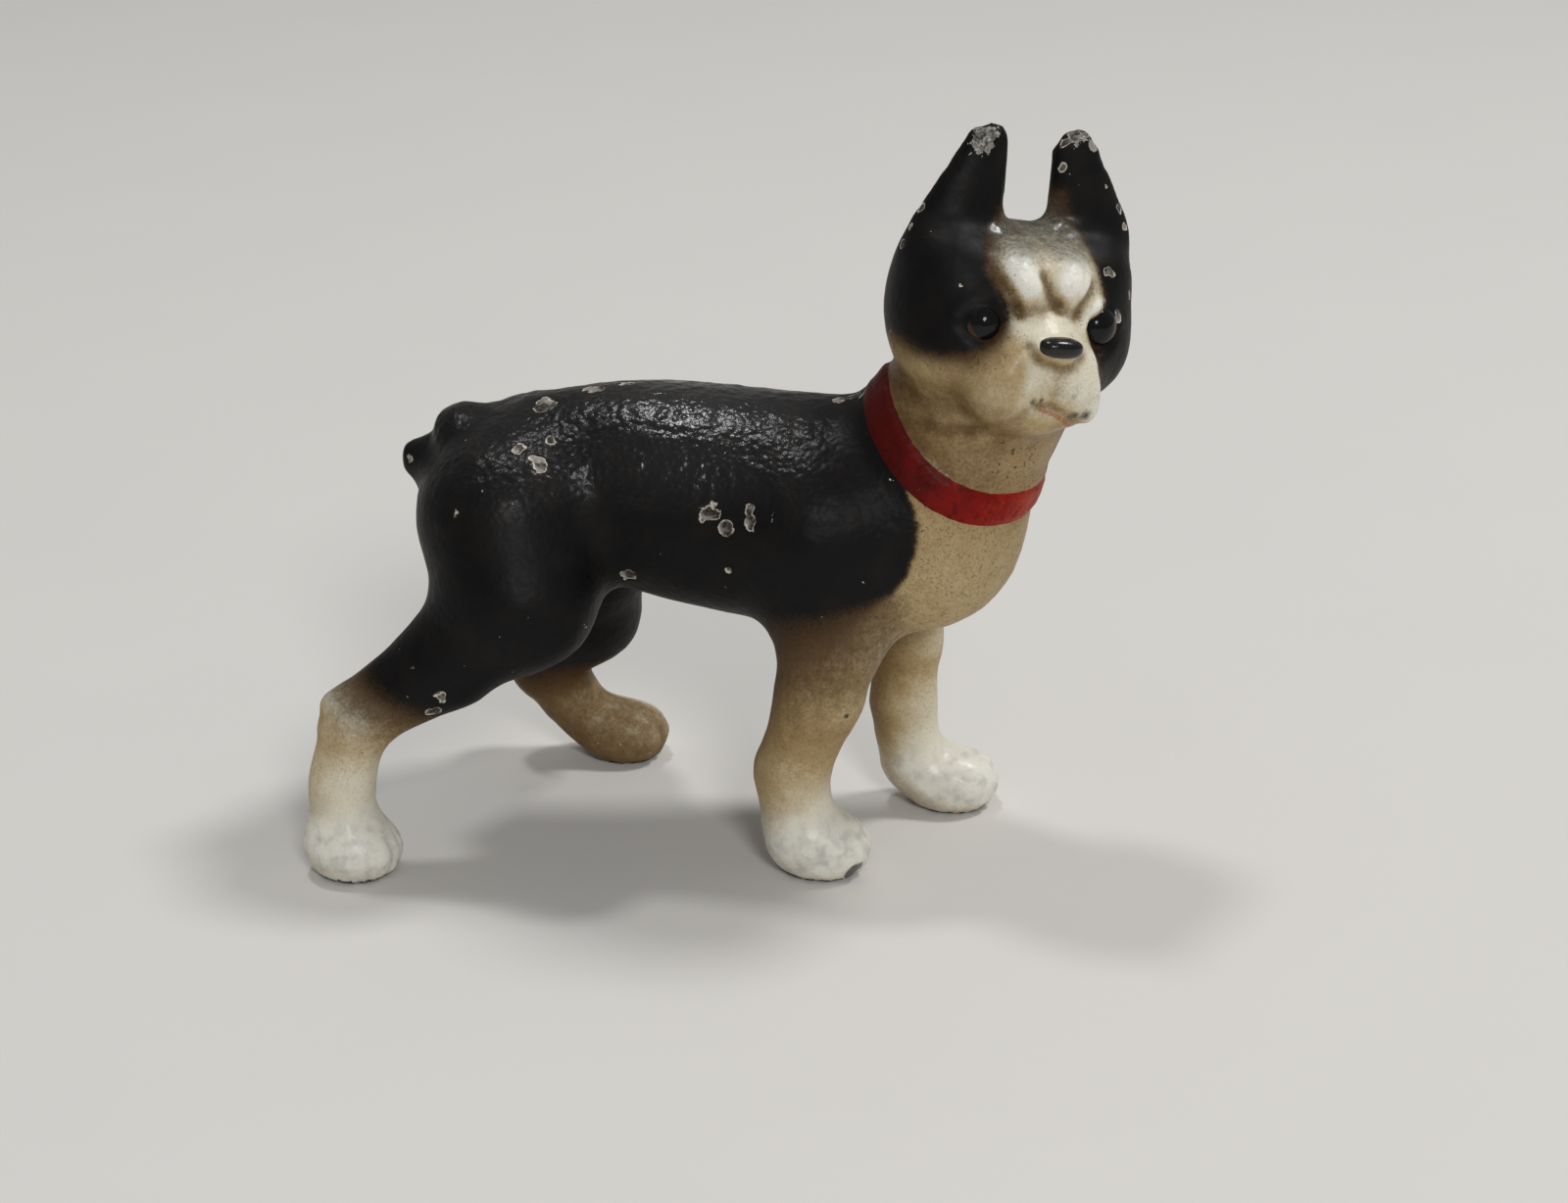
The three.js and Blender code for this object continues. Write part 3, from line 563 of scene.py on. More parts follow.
def sand_share(points):
    """How much of the mould's sand grain shows: most on the back, least on the smooth head."""
    above, _, _ = collar_places(points)
    body = 0.10 + 0.22 * eased(6, 13, points[:, 2]) + 0.68 * back_share(points)
    front = 0.35 * eased(14, 20, points[:, 0]) * eased(20, 28, points[:, 2])
    ahead = points[:, 0] > NAPE_X
    on_head = eased(3, 9, above) * ahead
    neck = 0.62 * eased(0, 1, above) * ahead
    return np.maximum(body + front, neck) * (1 - 0.72 * on_head)


def cast_grain(points, seed):
    """The sand grain of the casting."""
    coarse = grain(points, 1.4, seed) + 0.8 * grain(points, 0.8, seed + 1)
    return (1.6 * coarse + 0.6 * grain(points, 0.5, seed + 2)) * sand_share(points)


def sculpted(mesh, sizes):
    """The even skin with the facets taken out and the cast details put in."""
    seed = sizes.grain_seed
    points, edges = mesh_arrays(mesh)
    points = rounded_off(points, edges)
    set_points(mesh, points)
    normals = point_normals(mesh)
    above, _, around = collar_places(points)
    band = sizes.collar_width / MM / 2 - np.abs(above)
    relief = face_relief(points)
    relief += sizes.collar_raise / MM * eased(-0.15, 0.8, band) * (around < NECK_REACH)
    relief += paw_relief(points, sizes.toe_depth / MM) + leg_relief(points)
    relief += sizes.grain_height / MM * cast_grain(points, seed)
    relief -= sizes.chip_depth / MM * eased(-0.05, 0.1, chip_distance(points, seed))
    standing = eased(0.05, 0.5, points[:, 2])
    points = points + normals * (relief * standing)[:, None]
    flat_below = 0.12
    points[:, 2] = np.where(points[:, 2] < flat_below, 0, points[:, 2])
    set_points(mesh, points)
    return mesh


def bores():
    """The screw hole and the dowel sockets as one cutting shape."""
    shape = bmesh.new()
    top = SCREW_HIGH[1] - SCREW_HEAD_RIM
    neck = SCREW_SHANK_RADIUS + FIT_GAP
    mouth = SCREW_HEAD_RADIUS + FIT_GAP
    foot = top - (SCREW_HEAD_RADIUS - SCREW_SHANK_RADIUS) - FIT_GAP
    profile = ((neck, SCREW_LOW[1] - END_GAP), (neck, foot), (mouth, top - FIT_GAP), (mouth, top + 8))
    turned_profile(shape, profile, SCREW_X, SCREW_Z)
    for name in DOWELS:
        low, high = node_box(name)
        middle = (low + high) / 2
        radius = (high[2] - low[2]) / 2 + FIT_GAP
        ends = ((radius, low[1] - END_GAP), (radius, high[1] + END_GAP))
        turned_profile(shape, ends, middle[0], middle[2], DOWEL_SIDES)
    return finished_mesh(shape, "bores")


def add_beads(mesh, sizes):
    """Sets the eyes and the nose into the head as smooth oval beads."""
    eye = sizes.eye_diameter / MM / 2
    nose = sizes.nose_width / MM / 2
    shape = bmesh.new()
    shape.from_mesh(mesh)
    beads = [(place, (eye, eye, eye), EYE_SLOT, 1.0) for place in EYES]
    beads.append((NOSE, (NOSE_DEPTH, nose, NOSE_TALL * nose), NOSE_SLOT, NOSE_SQUARING))
    for place, half, slot, squaring in beads:
        made = bmesh.ops.create_icosphere(shape, subdivisions=5, radius=1)["verts"]
        for vertex in made:
            ball = np.array(vertex.co)
            ball = np.sign(ball) * np.abs(ball) ** squaring
            local = ball * half + np.array(place)
            vertex.co = HEAD_TURN @ local + HEAD_MIDDLE
        for face in {face for vertex in made for face in vertex.link_faces}:
            face.material_index = slot
    shape.to_mesh(mesh)
    shape.free()


class Places:
    """Where a set of points lies on the dog and how it faces, in the frames that the paint follows."""

    def __init__(self, points, normals):
        self.points = points
        # How much each point faces the painted light
        self.painted_lit = eased(-0.35, 0.75, normals @ PAINTED_LIGHT)
        self.x, self.y, self.z = points.T
        self.head = head_places(points)
        self.ahead, self.left, self.up = self.head.T
        self.above, self.turn, self.around = collar_places(points)
        self.on_head = (self.above > 0) & (self.z > 38) & (self.x > 8)
        self.front = eased(-5, -1.5, self.ahead)
        # The left hind leg is painted in shade on the side that faces in under the belly: browner, with less
        # of the paws' whiter cream
        far_hind = (self.x < HIND_X) & (self.y > 0)
        self.shaded_under_belly = far_hind * (1 - eased(15.5, 19.0, self.y))
        self.paw = (1 - eased(4.5, 9.5, self.z)) * (1 - 0.8 * self.shaded_under_belly)

    def near(self, place, reach):
        return bump(far_from(self.points, place), reach)

    def near_face(self, spot, reach):
        on_face = (self.ahead > 3) & self.on_head
        return bump(far_from(self.head[:, 1:], spot), reach) * on_face


def coat_marks(at):
    """How far each point lies inside the cream, and how soft the border with the black is there."""
    face = inside_distance(at.head[:, 1:], FACE_CREAM)
    head = at.front * face + (1 - at.front) * np.clip(-5 - at.up, -3, 3)
    soft_head = 0.8 + 1.5 * (1 - at.front) + 0.4 * eased(-4, -8, at.left)
    soft_head += 1.3 * eased(5.5, 7, at.left) * (at.up < -1) + 0.9 * eased(8.5, 10.5, at.up)
    lean = eased(-4, 4, at.y)
    right = -inside_distance(at.points[:, ::2], BACK_BLACK_RIGHT)
    left = -inside_distance(at.points[:, ::2], BACK_BLACK_LEFT)
    body = right * (1 - lean) + left * lean
    shoulder = eased(20, 14, at.x) * eased(34, 28, at.z) * (at.x > 0)
    soft_body = 0.6 + 4.2 * shoulder + 1.9 * eased(-6, -14, at.x)
    return np.where(at.on_head, head, body), np.where(at.on_head, soft_head, soft_body)


def brown_shade(at, coat):
    """Brown: airbrushed round the eye patch and below the black of the hind legs, and painted shade in the
    creases, on the far cheek, under the head and jaw, down the front legs and under the belly.
    """
    spot = at.head[:, 1:]
    # Painted shade: the creases are darkened, the more the deeper they are
    creases = np.zeros(len(coat))
    for line, depth, width in FACE_CREASES:
        creases = np.maximum(creases, depth / 0.5 * bump(line_distance(spot, line), 1.5 * width))
    creases *= eased(*FACE_FRONT, at.ahead)
    halo = (0.45 + 0.3 * eased(-2.5, -5.5, at.left)) * bump(np.maximum(coat, 0), 1.6)
    # Painted shade on the far cheek, under the head and under the jaw; the back of the neck is darker too
    far_cheek = 0.8 * eased(5.2, 7.0, at.left) * (at.up < 1)
    under = 0.6 * eased(-5, -9, at.up) * (1 - at.front)
    nape = 0.6 * eased(0.4, -0.5, np.cos(at.turn)) * (1 - eased(5, 8, at.above))
    jaw = 0.42 * eased(-4, -8, at.up) * eased(1.5, -2, at.left)
    head = np.maximum.reduce((0.75 * creases, halo, far_cheek, under, nape, jaw))
    on_right = at.y < 0
    # Painted shade down the front legs: darkest at the top under the chest, and on their rear sides
    down = eased(12, 28, at.z) * (at.x > 3) * (at.z < 32) * eased(23, 18, at.x)
    rear = eased(4, -4, at.x - 11.5 - 0.12 * at.z)
    front_leg = down * np.where(on_right, 0.68 + 0.30 * rear, 0.30 + 0.2 * rear)
    hind_leg = np.where(on_right, 0.9, 0.95) * bump(np.maximum(coat, 0), 5.2) * (at.x < HIND_X)
    # Painted shade on the left hind leg where it faces in under the belly
    hind_leg = np.maximum(hind_leg, 0.6 * at.shaded_under_belly)
    return np.where(at.on_head, head, np.maximum(front_leg, hind_leg))


def yellowing_and_shade(at):
    """Yellowing of the cream, and painted shade in yellowed cream: most on the neck, some on the cheeks, the
    chest and the legs, with painted shade under the jaw and the head and where they face away from the
    painted light.
    """
    cheek = 0.85 * eased(-0.8, -4.0, at.left) * eased(2, -2, at.up)
    # Under the jaw, and on the neck under the head below, the yellowing is also painted shade
    jaw = 0.9 * eased(-5.5, -9, at.up)
    # Painted shade where the head faces away from the painted light
    head = np.maximum.reduce((cheek, jaw, 0.24 + 0.45 * (1 - at.painted_lit)))
    neck = 0.8 + 0.2 * eased(0.6, -0.3, np.cos(at.turn))
    head = np.maximum(head, neck * eased(-9.5, -12, at.up))
    # The chest and the legs get painted shade where they face away from the painted light
    chest = 0.76 - 0.12 * eased(39, 27, at.z) + 0.1 * (0.5 - at.painted_lit)
    leg = 0.05 + np.where(at.x > 0, 0.75, 0.46) * eased(2.5, 15.5, at.z)
    # Painted shade on the left hind leg where it faces in under the belly
    leg = np.maximum(leg, 0.95 * at.shaded_under_belly)
    leg = leg + np.where((at.x > 0) & (at.y > 0), 0.9, 0.5) * (0.5 - at.painted_lit)
    upper = eased(20, 26, at.z)
    return np.where(at.on_head, head, leg * (1 - upper) + chest * upper)


def black_smoke(at):
    """Thin black over the cream: on the crown, at the mouth and in small nicks."""
    smoke = 0.88 * eased(4.6, 8.2, at.up) * at.on_head * (np.abs(at.left) < 7)
    smoke = np.maximum(smoke, 0.36 * at.near_face((1.0, -4.6), 2.6))
    for spot, reach in MOUTH_DIRT:
        smoke = np.maximum(smoke, 0.95 * at.near_face(spot, reach))
    for *place, reach in BLACK_NICKS:
        smoke = np.maximum(smoke, eased(0.25, 0.5, at.near(place, reach)))
    return smoke


def paint_marks(points, normals, sizes):
    """Where each colour lies, as numbers on the points: distances in millimetres and shares from 0 to 1."""
    at = Places(points, normals)
    coat, soft = coat_marks(at)
    lip = bump(line_distance(at.head[:, 1:], LIP), 0.26) * at.on_head * (at.ahead > 5)
    wear = np.zeros(len(points))
    for *place, reach in EAR_TIPS:
        wear = np.maximum(wear, 1.25 - far_from(points, place) / reach)
    pitted = at.near(THROAT_PITS, 4.0) + 0.25 * (at.z > 14) * (1 - eased(6, 10, at.above) * at.on_head)
    face = 0.2 * eased(3, 6, at.ahead) * at.on_head * eased(-0.3, 0.8, coat)
    roots = np.maximum.reduce([at.near(place, 1.1) for place in EAR_ROOT_BUMPS])
    back = back_share(points) * (0.22 + 0.78 * bump(at.x + 2.5, 8.5))
    gloss = np.maximum.reduce((back, 0.36 * at.paw, face, 0.8 * roots))
    pupil = np.ones(len(points))
    for eye in EYES:
        away = at.head - eye
        off = np.linalg.norm(away, axis=1)
        pupil = np.where(off < 3, eased(0.15, 0.45, away @ GAZE / np.maximum(off, 0.01)), pupil)
    half_band = sizes.collar_width / MM / 2
    return {
        "coat": coat, "coat_soft": soft, "shade": brown_shade(at, coat), "age_and_shade": yellowing_and_shade(at),
        "smoke": black_smoke(at), "lip": lip, "wear": wear, "soles": 1 - eased(0.15, 1.3, at.z),
        "collar": np.where(at.around < NECK_REACH, half_band - np.abs(at.above), FAR_OUTSIDE),
        "collar_front": np.cos(at.turn), "chip": chip_distance(points, sizes.grain_seed),
        "pitted": pitted, "sand": sand_share(points), "gloss": gloss, "paw": at.paw, "pupil": pupil,
    }


def hollows(mesh):
    """How hollow the skin is at each point: 1 in a crease, 0 on flat skin and -1 on a sharp bulge."""
    points, edges = mesh_arrays(mesh)
    normals = point_normals(mesh)
    sunk = np.einsum("ij,ij->i", neighbour_mean(points, edges) - points, normals)[:, None]
    rounds, sharp, body_share = 8, 0.015, 0.35
    for _ in range(rounds):
        sunk = neighbour_mean(sunk, edges)
    above, _, _ = collar_places(points)
    on_head = (above > 0) & (points[:, 0] > NAPE_X)
    off_joint = eased(0.8, 3.0, np.abs(points[:, 1]))
    return np.clip(sunk[:, 0] / sharp, -1, 1) * np.where(on_head, 1, body_share) * off_joint


def set_mark(mesh, name, values):
    mark = mesh.attributes.new(name, "FLOAT", "POINT")
    mark.data.foreach_set("value", np.asarray(values, np.float32))


def mark_joint_faces(mesh):
    """Gives the joint face and the bores the bare iron, and keeps their edges sharp."""
    faces = mesh.polygons
    middles, normals = read_all(faces, "center", 3), read_all(faces, "normal", 3)
    slots = read_all(faces, "material_index", 1, np.int32)
    joint = (np.abs(middles[:, 1]) < 1e-3) & (np.abs(normals[:, 1]) > 0.99)
    out = np.hypot(middles[:, 0] - SCREW_X, middles[:, 2] - SCREW_Z)
    bored = (out < SCREW_HEAD_RADIUS + FIT_GAP + 0.01) & (np.abs(middles[:, 1]) < SCREW_HIGH[1] + 1.5)
    bored &= (middles[:, 1] > SCREW_LOW[1] - 1)
    for name in DOWELS:
        low, high = node_box(name)
        middle = (low + high) / 2
        far = np.hypot(middles[:, 0] - middle[0], middles[:, 2] - middle[2])
        bored |= (far < 2.0) & (np.abs(middles[:, 1]) < high[1] + 1)
    slots[joint | bored] = BARE_SLOT
    faces.foreach_set("material_index", slots)

    corner_edges = read_all(mesh.loops, "edge_index", 1, np.int32)
    corner_slots = np.repeat(slots, read_all(faces, "loop_total", 1, np.int32))
    lowest = np.full(len(mesh.edges), len(mesh.materials))
    highest = np.full(len(mesh.edges), -1)
    np.minimum.at(lowest, corner_edges, corner_slots)
    np.maximum.at(highest, corner_edges, corner_slots)
    mesh.shade_smooth()
    sharp = mesh.attributes.new("sharp_edge", "BOOLEAN", "EDGE")
    sharp.data.foreach_set("value", (lowest != highest))


# Finishes

class Finish:
    """A material whose nodes are put together in code."""

    def __init__(self, name):
        self.material = bpy.data.materials.new(name)
        self.material.use_nodes = True
        self.tree = self.material.node_tree
        self.shader = self.tree.nodes["Principled BSDF"]
        self.place = self.node("ShaderNodeTexCoord").outputs["Object"]

    def node(self, kind, **settings):
        made = self.tree.nodes.new(kind)
        for key, value in settings.items():
            setattr(made, key, value)
        return made

    def feed(self, socket, value):
        if isinstance(value, bpy.types.NodeSocket):
            self.tree.links.new(value, socket)
        elif hasattr(socket, "default_value"):
            four = socket.type == "RGBA" and len(value) == 3
            socket.default_value = (*value, 1) if four else value

    def mark(self, name):
        return self.node("ShaderNodeAttribute", attribute_name=name).outputs["Fac"]

    def noise(self, size, detail=3.0, roughness=0.55, stretch=None):
        """Noise from 0 to 1 whose lumps are about size millimetres across."""
        place = self.place
        if stretch:
            mapping = self.node("ShaderNodeMapping")
            self.feed(mapping.inputs["Vector"], place)
            mapping.inputs["Scale"].default_value = stretch
            place = mapping.outputs["Vector"]
        made = self.node("ShaderNodeTexNoise")
        self.feed(made.inputs["Vector"], place)
        made.inputs["Scale"].default_value = 1 / (size * MM)
        made.inputs["Detail"].default_value = detail
        made.inputs["Roughness"].default_value = roughness
        return made.outputs["Fac"]

    def cells(self, size):
        made = self.node("ShaderNodeTexVoronoi")
        self.feed(made.inputs["Vector"], self.place)
        made.inputs["Scale"].default_value = 1 / (size * MM)
        return made.outputs["Distance"]

    def math(self, operation, a, b=0.0, c=0.0):
        made = self.node("ShaderNodeMath", operation=operation)
        for socket, value in zip(made.inputs, (a, b, c)):
            self.feed(socket, value)
        return made.outputs["Value"]

    def spread(self, value, low, high, to_low=0.0, to_high=1.0):
        made = self.node("ShaderNodeMapRange", interpolation_type="SMOOTHSTEP")
        for key, given in zip(
            ("Value", "From Min", "From Max", "To Min", "To Max"), (value, low, high, to_low, to_high)
        ):
            self.feed(made.inputs[key], given)
        return made.outputs["Result"]

    def times(self, a, b):
        return self.math("MULTIPLY", a, b)

    def mix(self, share, a, b):
        """The colour a where the share is 0 and b where it is 1."""
        made = self.node("ShaderNodeMix", data_type="RGBA")
        # Inputs 6 and 7 and output 2 of this node are its colours
        for index, value in ((0, share), (6, a), (7, b)):
            self.feed(made.inputs[index], value)
        return made.outputs[2]

    def height(self, value, depth):
        made = self.node("ShaderNodeBump")
        made.inputs["Distance"].default_value = depth * MM
        self.feed(made.inputs["Height"], value)
        return made.outputs["Normal"]

    def done(self, **sockets):
        for key, value in sockets.items():
            self.feed(self.shader.inputs[key.replace("_", " ")], value)
        return self.material


def nudged(f, value, noise, amount):
    """A value moved up and down by a noise."""
    return f.math("MULTIPLY_ADD", f.math("SUBTRACT", noise, 0.5), amount, value)


def cream_coat(f, paint, broad, middling, fine):
    """Cream enamel: yellowed, airbrushed brown and dirty in its pores; its hollows get dirt and painted
    shade, its bulges a painted highlight.
    """
    hollow, sand = f.mark("hollow"), f.mark("sand")
    # Hollows are yellowed more, as dirt and painted shade
    age_and_shade = f.math("MULTIPLY_ADD", hollow, 0.35, f.mark("age_and_shade"))
    age_and_shade = nudged(f, nudged(f, nudged(f, age_and_shade, broad, 0.22), middling, 0.20), fine, 0.36)
    # Painted highlight: the sharp bulges are painted whiter
    highlit_cream = f.mix(f.spread(hollow, -0.2, -0.9), paint.cream, HIGHLIT_BULGE_CREAM)
    highlit_cream = f.mix(f.times(f.mark("paw"), 0.8), highlit_cream, PAW_CREAM)
    cream = f.mix(f.spread(age_and_shade, 0.0, 0.75), highlit_cream, paint.tan)
    cream = f.mix(f.spread(age_and_shade, 0.5, 1.15), cream, paint.aged_and_shaded)
    smudge = f.times(f.spread(f.noise(1.5, 3.0, 0.5), 0.42, 0.74), f.mark("paw"))
    cream = f.mix(f.times(smudge, 0.55), cream, paint.smudge)
    # Hollows get more brown, as dirt and painted shade
    shade = f.math("MULTIPLY_ADD", hollow, 0.3, f.mark("shade"))
    shade = f.spread(nudged(f, nudged(f, shade, middling, 0.35), fine, 0.3), 0.06, 1.0)
    cream = f.mix(f.times(shade, 0.95), cream, paint.brown)
    smoke = f.spread(nudged(f, nudged(f, f.mark("smoke"), middling, 0.45), fine, 0.4), 0.12, 1.05)
    cream = f.mix(f.times(smoke, 0.88), cream, paint.black)
    pores = f.times(f.spread(f.noise(0.30, 2.0), 0.49, 0.33), sand)
    cream = f.mix(f.times(pores, 0.6), cream, paint.brown)
    pits = f.math("MULTIPLY_ADD", f.mark("pitted"), 0.16, f.noise(0.5, 2.0, 0.6))
    cream = f.mix(f.spread(pits, 0.76, 0.82, 0, 0.8), cream, paint.grime)
    by_border = f.spread(f.mark("coat"), 3.5, 0.2)
    overspray = f.times(f.spread(f.noise(0.3, 1.0), 0.62, 0.70), by_border)
    cream = f.mix(f.times(overspray, 0.6), cream, paint.black)
    lip = f.spread(nudged(f, f.mark("lip"), fine, 1.0), 0.25, 0.95, 0, 0.8)
    return f.mix(lip, cream, paint.lip)


def collar_coat(f, paint, broad, fine):
    """Red enamel, brushed on: dark at the nape, more orange under the throat as a painted highlight."""
    front = nudged(f, f.mark("collar_front"), broad, 1.8)
    red = f.mix(f.spread(front, -0.5, 0.9), NAPE_RED, paint.red)
    # Painted highlight: more orange under the throat
    red = f.mix(f.spread(nudged(f, front, fine, 1.4), 0.5, 1.4, 0, 0.8), red, THROAT_HIGHLIGHT_RED)
    dirt = f.spread(f.noise(0.9, 4.0), 0.54, 0.68, 0, 0.6)
    return f.mix(dirt, red, DIRTY_RED)


def worn_iron(f, paint, worn, fine):
    """Bare iron: dark in the chips, grey and flecked on the rubbed ear tips."""
    iron = f.mix(f.spread(fine, 0.40, 0.70), CHIP_IRON, paint.bare_iron)
    iron = f.mix(f.spread(f.noise(2.2), 0.44, 0.58, 0, 0.85), iron, GREY_IRON)
    flecks = f.spread(f.noise(0.55, 3.0, 0.6), 0.40, 0.62)
    rubbed = f.mix(flecks, RUBBED_DARK, RUBBED_PALE)
    seams = f.math("ABSOLUTE", f.math("SUBTRACT", f.noise(1.3, 2.0), 0.5))
    rubbed = f.mix(f.spread(seams, 0.026, 0.006, 0, 0.45), rubbed, paint.primer_and_edge_highlight)
    return f.mix(f.spread(worn, 0.02, 0.12), iron, rubbed)


def painted_enamel(paint):
    """Black, cream and red enamel over iron, airbrushed at the borders, chipped and grubby."""
    f = Finish("painted_enamel")
    coat, soft, sand = f.mark("coat"), f.mark("coat_soft"), f.mark("sand")
    broad, middling, fine = f.noise(3.2), f.noise(0.9), f.noise(0.28, 2.0)
    domes = f.spread(f.cells(0.8), 0.8, 0.0, 0.0, 0.34)
    grit = f.math("MULTIPLY_ADD", f.noise(0.6, 2.0, 0.5), 0.5, f.math("MULTIPLY_ADD", fine, 0.08, domes))
    border = nudged(f, coat, middling, 0.7)
    border = f.math("MULTIPLY_ADD", f.math("SUBTRACT", fine, 0.5), f.times(soft, 0.8), border)
    cover = f.spread(border, f.times(soft, -1), soft)
    black = f.mix(f.spread(broad, 0.42, 0.75, 0, 0.7), paint.black, WARM_BLACK)
    enamel = f.mix(f.spread(cover, 0.0, 0.5), black, f.mix(0.45, paint.brown, paint.black))
    enamel = f.mix(f.spread(cover, 0.25, 1.0), enamel, cream_coat(f, paint, broad, middling, fine))
    on_band = f.spread(nudged(f, f.mark("collar"), middling, 0.22), -0.05, 0.05)
    enamel = f.mix(on_band, enamel, collar_coat(f, paint, broad, fine))

    worn = nudged(f, f.mark("wear"), f.noise(1.1, 3.0, 0.6), 2.6)
    worn = f.times(f.math("SUBTRACT", worn, 0.62), 0.9)
    flaked = f.math("MAXIMUM", nudged(f, f.mark("chip"), fine, 0.10), worn)
    bare = f.spread(flaked, -0.02, 0.03)
    # The pale rim round each chip is primer, and partly a painted highlight on the chipped edge
    edge = f.spread(nudged(f, flaked, f.noise(0.4, 2.0), 0.26), 0.17, 0.08)
    edge = f.times(edge, f.spread(f.noise(0.8, 2.0), 0.36, 0.50))
    enamel = f.mix(bare, enamel, worn_iron(f, paint, worn, fine))
    edge = f.times(edge, f.spread(f.mark("wear"), -0.2, 0.6, 1.0, 0.35))
    enamel = f.mix(f.times(bare, edge), enamel, paint.primer_and_edge_highlight)
    soles = nudged(f, f.mark("soles"), f.noise(1.0, 4.0, 0.65), 2.4)
    soles = f.spread(soles, 0.80, 0.92)
    enamel = f.mix(soles, enamel, SOLE_BLACK)

    gloss = f.mark("gloss")
    rough = f.math("MULTIPLY_ADD", gloss, -0.22, 0.50)
    rough = nudged(f, nudged(f, rough, middling, 0.14), fine, 0.10)
    rough = f.math("MAXIMUM", rough, f.times(f.math("MAXIMUM", bare, soles), 0.5))
    relief = f.times(grit, sand)
    relief = f.math("MULTIPLY_ADD", f.noise(0.2, 2.0), 0.05, relief)
    relief = f.math("MULTIPLY_ADD", bare, -0.25, relief)
    relief = f.height(relief, 0.19)
    plain = f.times(f.math("SUBTRACT", 1.0, bare), f.math("SUBTRACT", 1.0, on_band))
    wet = f.times(gloss, plain)
    return f.done(
        Base_Color=enamel, Roughness=rough, Metallic=f.times(bare, 0.3), Normal=relief,
        Specular_IOR_Level=0.14, Coat_Weight=wet, Coat_Roughness=0.23, Coat_Normal=relief)


def wet_bead(name, paint, shine, dull):
    """The wet-looking black of a bead, with dark brown round a pupil."""
    f = Finish(name)
    pupil = f.spread(nudged(f, f.mark("pupil"), f.noise(0.6), 0.3), 0.35, 0.65)
    base = f.mix(pupil, paint.iris, paint.black)
    dust = f.spread(f.noise(0.35, 4.0), 0.60, 0.78)
    base = f.mix(f.times(dust, 0.12), base, paint.grime)
    return f.done(
        Base_Color=base, Roughness=f.spread(dust, 0, 1, dull, dull + 0.1), Specular_IOR_Level=shine,
        Normal=f.height(f.noise(0.9), 0.04))


def bare_casting(paint):
    """Filed and drilled iron on the joint faces and in the bores."""
    f = Finish("bare_casting")
    lines = f.noise(0.5, 4.0, stretch=(0.12, 1.0, 1.6))
    base = f.mix(f.spread(lines, 0.35, 0.7), paint.bare_iron, FILED_IRON)
    base = f.mix(f.spread(f.noise(2.4, 5.0, 0.65), 0.52, 0.68, 0, 0.75), base, RUST)
    return f.done(
        Base_Color=base, Metallic=0.75, Roughness=f.spread(lines, 0.3, 0.7, 0.36, 0.6),
        Normal=f.height(lines, 0.03))


def screw_finish(paint):
    """Steel painted over with the dog and rubbed bright where a driver has turned."""
    f = Finish("painted_screw")
    rubbed = f.spread(f.math("MULTIPLY_ADD", f.noise(0.9, 4.0, 0.65), 0.9, f.mark("rubbed")), 0.72, 0.92)
    steel = f.mix(f.spread(f.noise(0.25), 0.4, 0.7), paint.steel, DULL_STEEL)
    black = f.mix(f.spread(f.noise(0.8), 0.45, 0.75, 0, 0.6), paint.black, paint.grime)
    return f.done(
        Base_Color=f.mix(rubbed, black, steel), Metallic=f.times(rubbed, 0.9),
        Roughness=f.spread(rubbed, 0, 1, 0.32, 0.38), Normal=f.height(f.noise(0.3), 0.02))


def dowel_finish(paint):
    """Ground steel pins with turning lines and a little oil."""
    f = Finish("ground_dowel")
    lines = f.noise(0.3, 3.0, stretch=(0.15, 1.0, 0.15))
    base = f.mix(f.spread(lines, 0.35, 0.65), paint.steel, GROUND_STEEL)
    base = f.mix(f.spread(f.noise(1.5, 4.0), 0.55, 0.7, 0, 0.5), base, paint.grime)
    return f.done(
        Base_Color=base, Metallic=0.95, Roughness=f.spread(lines, 0.3, 0.7, 0.24, 0.42),
        Normal=f.height(lines, 0.01))


def stage_floor(settings):
    """Plain pale board."""
    f = Finish("stage_floor")
    base = f.mix(f.spread(f.noise(40.0), 0.3, 0.7, 0, 0.25), settings.floor, FLOOR_SHADE)
    return f.done(Base_Color=base, Roughness=0.7)


# The stage, in metres

FLOOR_REACH = 3
SKY_COLOUR = (1.0, 0.985, 0.965, 1)
LAMP_AIM = Vector((0.005, 0.0, 0.036))
# The camera stands to the right of the dog, turned a little to its front and looking down
CAMERA_AIM = Vector((6.39, 2.1, 25.0)) * MM
CAMERA_TURN, CAMERA_RISE = math.radians(8), math.radians(22.5)
CAMERA_AWAY = 318 * MM
SENSOR_WIDTH = 36
NEAREST_SEEN = 0.01


def look_along(piece, way):
    piece.rotation_euler = way.to_track_quat("-Z", "Y").to_euler()


def lay_floor(settings):
    shape = bmesh.new()
    bmesh.ops.create_grid(shape, x_segments=2, y_segments=2, size=FLOOR_REACH)
    floor = new_object("floor", finished_mesh(shape, "floor"))
    floor.data.materials.append(stage_floor(settings))


def light_evenly(scene, strength):
    world = bpy.data.worlds.new("studio")
    world.use_nodes = True
    sky = world.node_tree.nodes["Background"]
    sky.inputs["Color"].default_value = SKY_COLOUR
    sky.inputs["Strength"].default_value = strength
    scene.world = world


def hang_lamp(name, place, size, watts):
    """A round lamp that shines on the dog."""
    light = bpy.data.lights.new(name, "AREA")
    light.shape = "DISK"
    light.size = size
    light.energy = watts
    lamp = new_object(name, light)
    lamp.location = place
    look_along(lamp, LAMP_AIM - lamp.location)


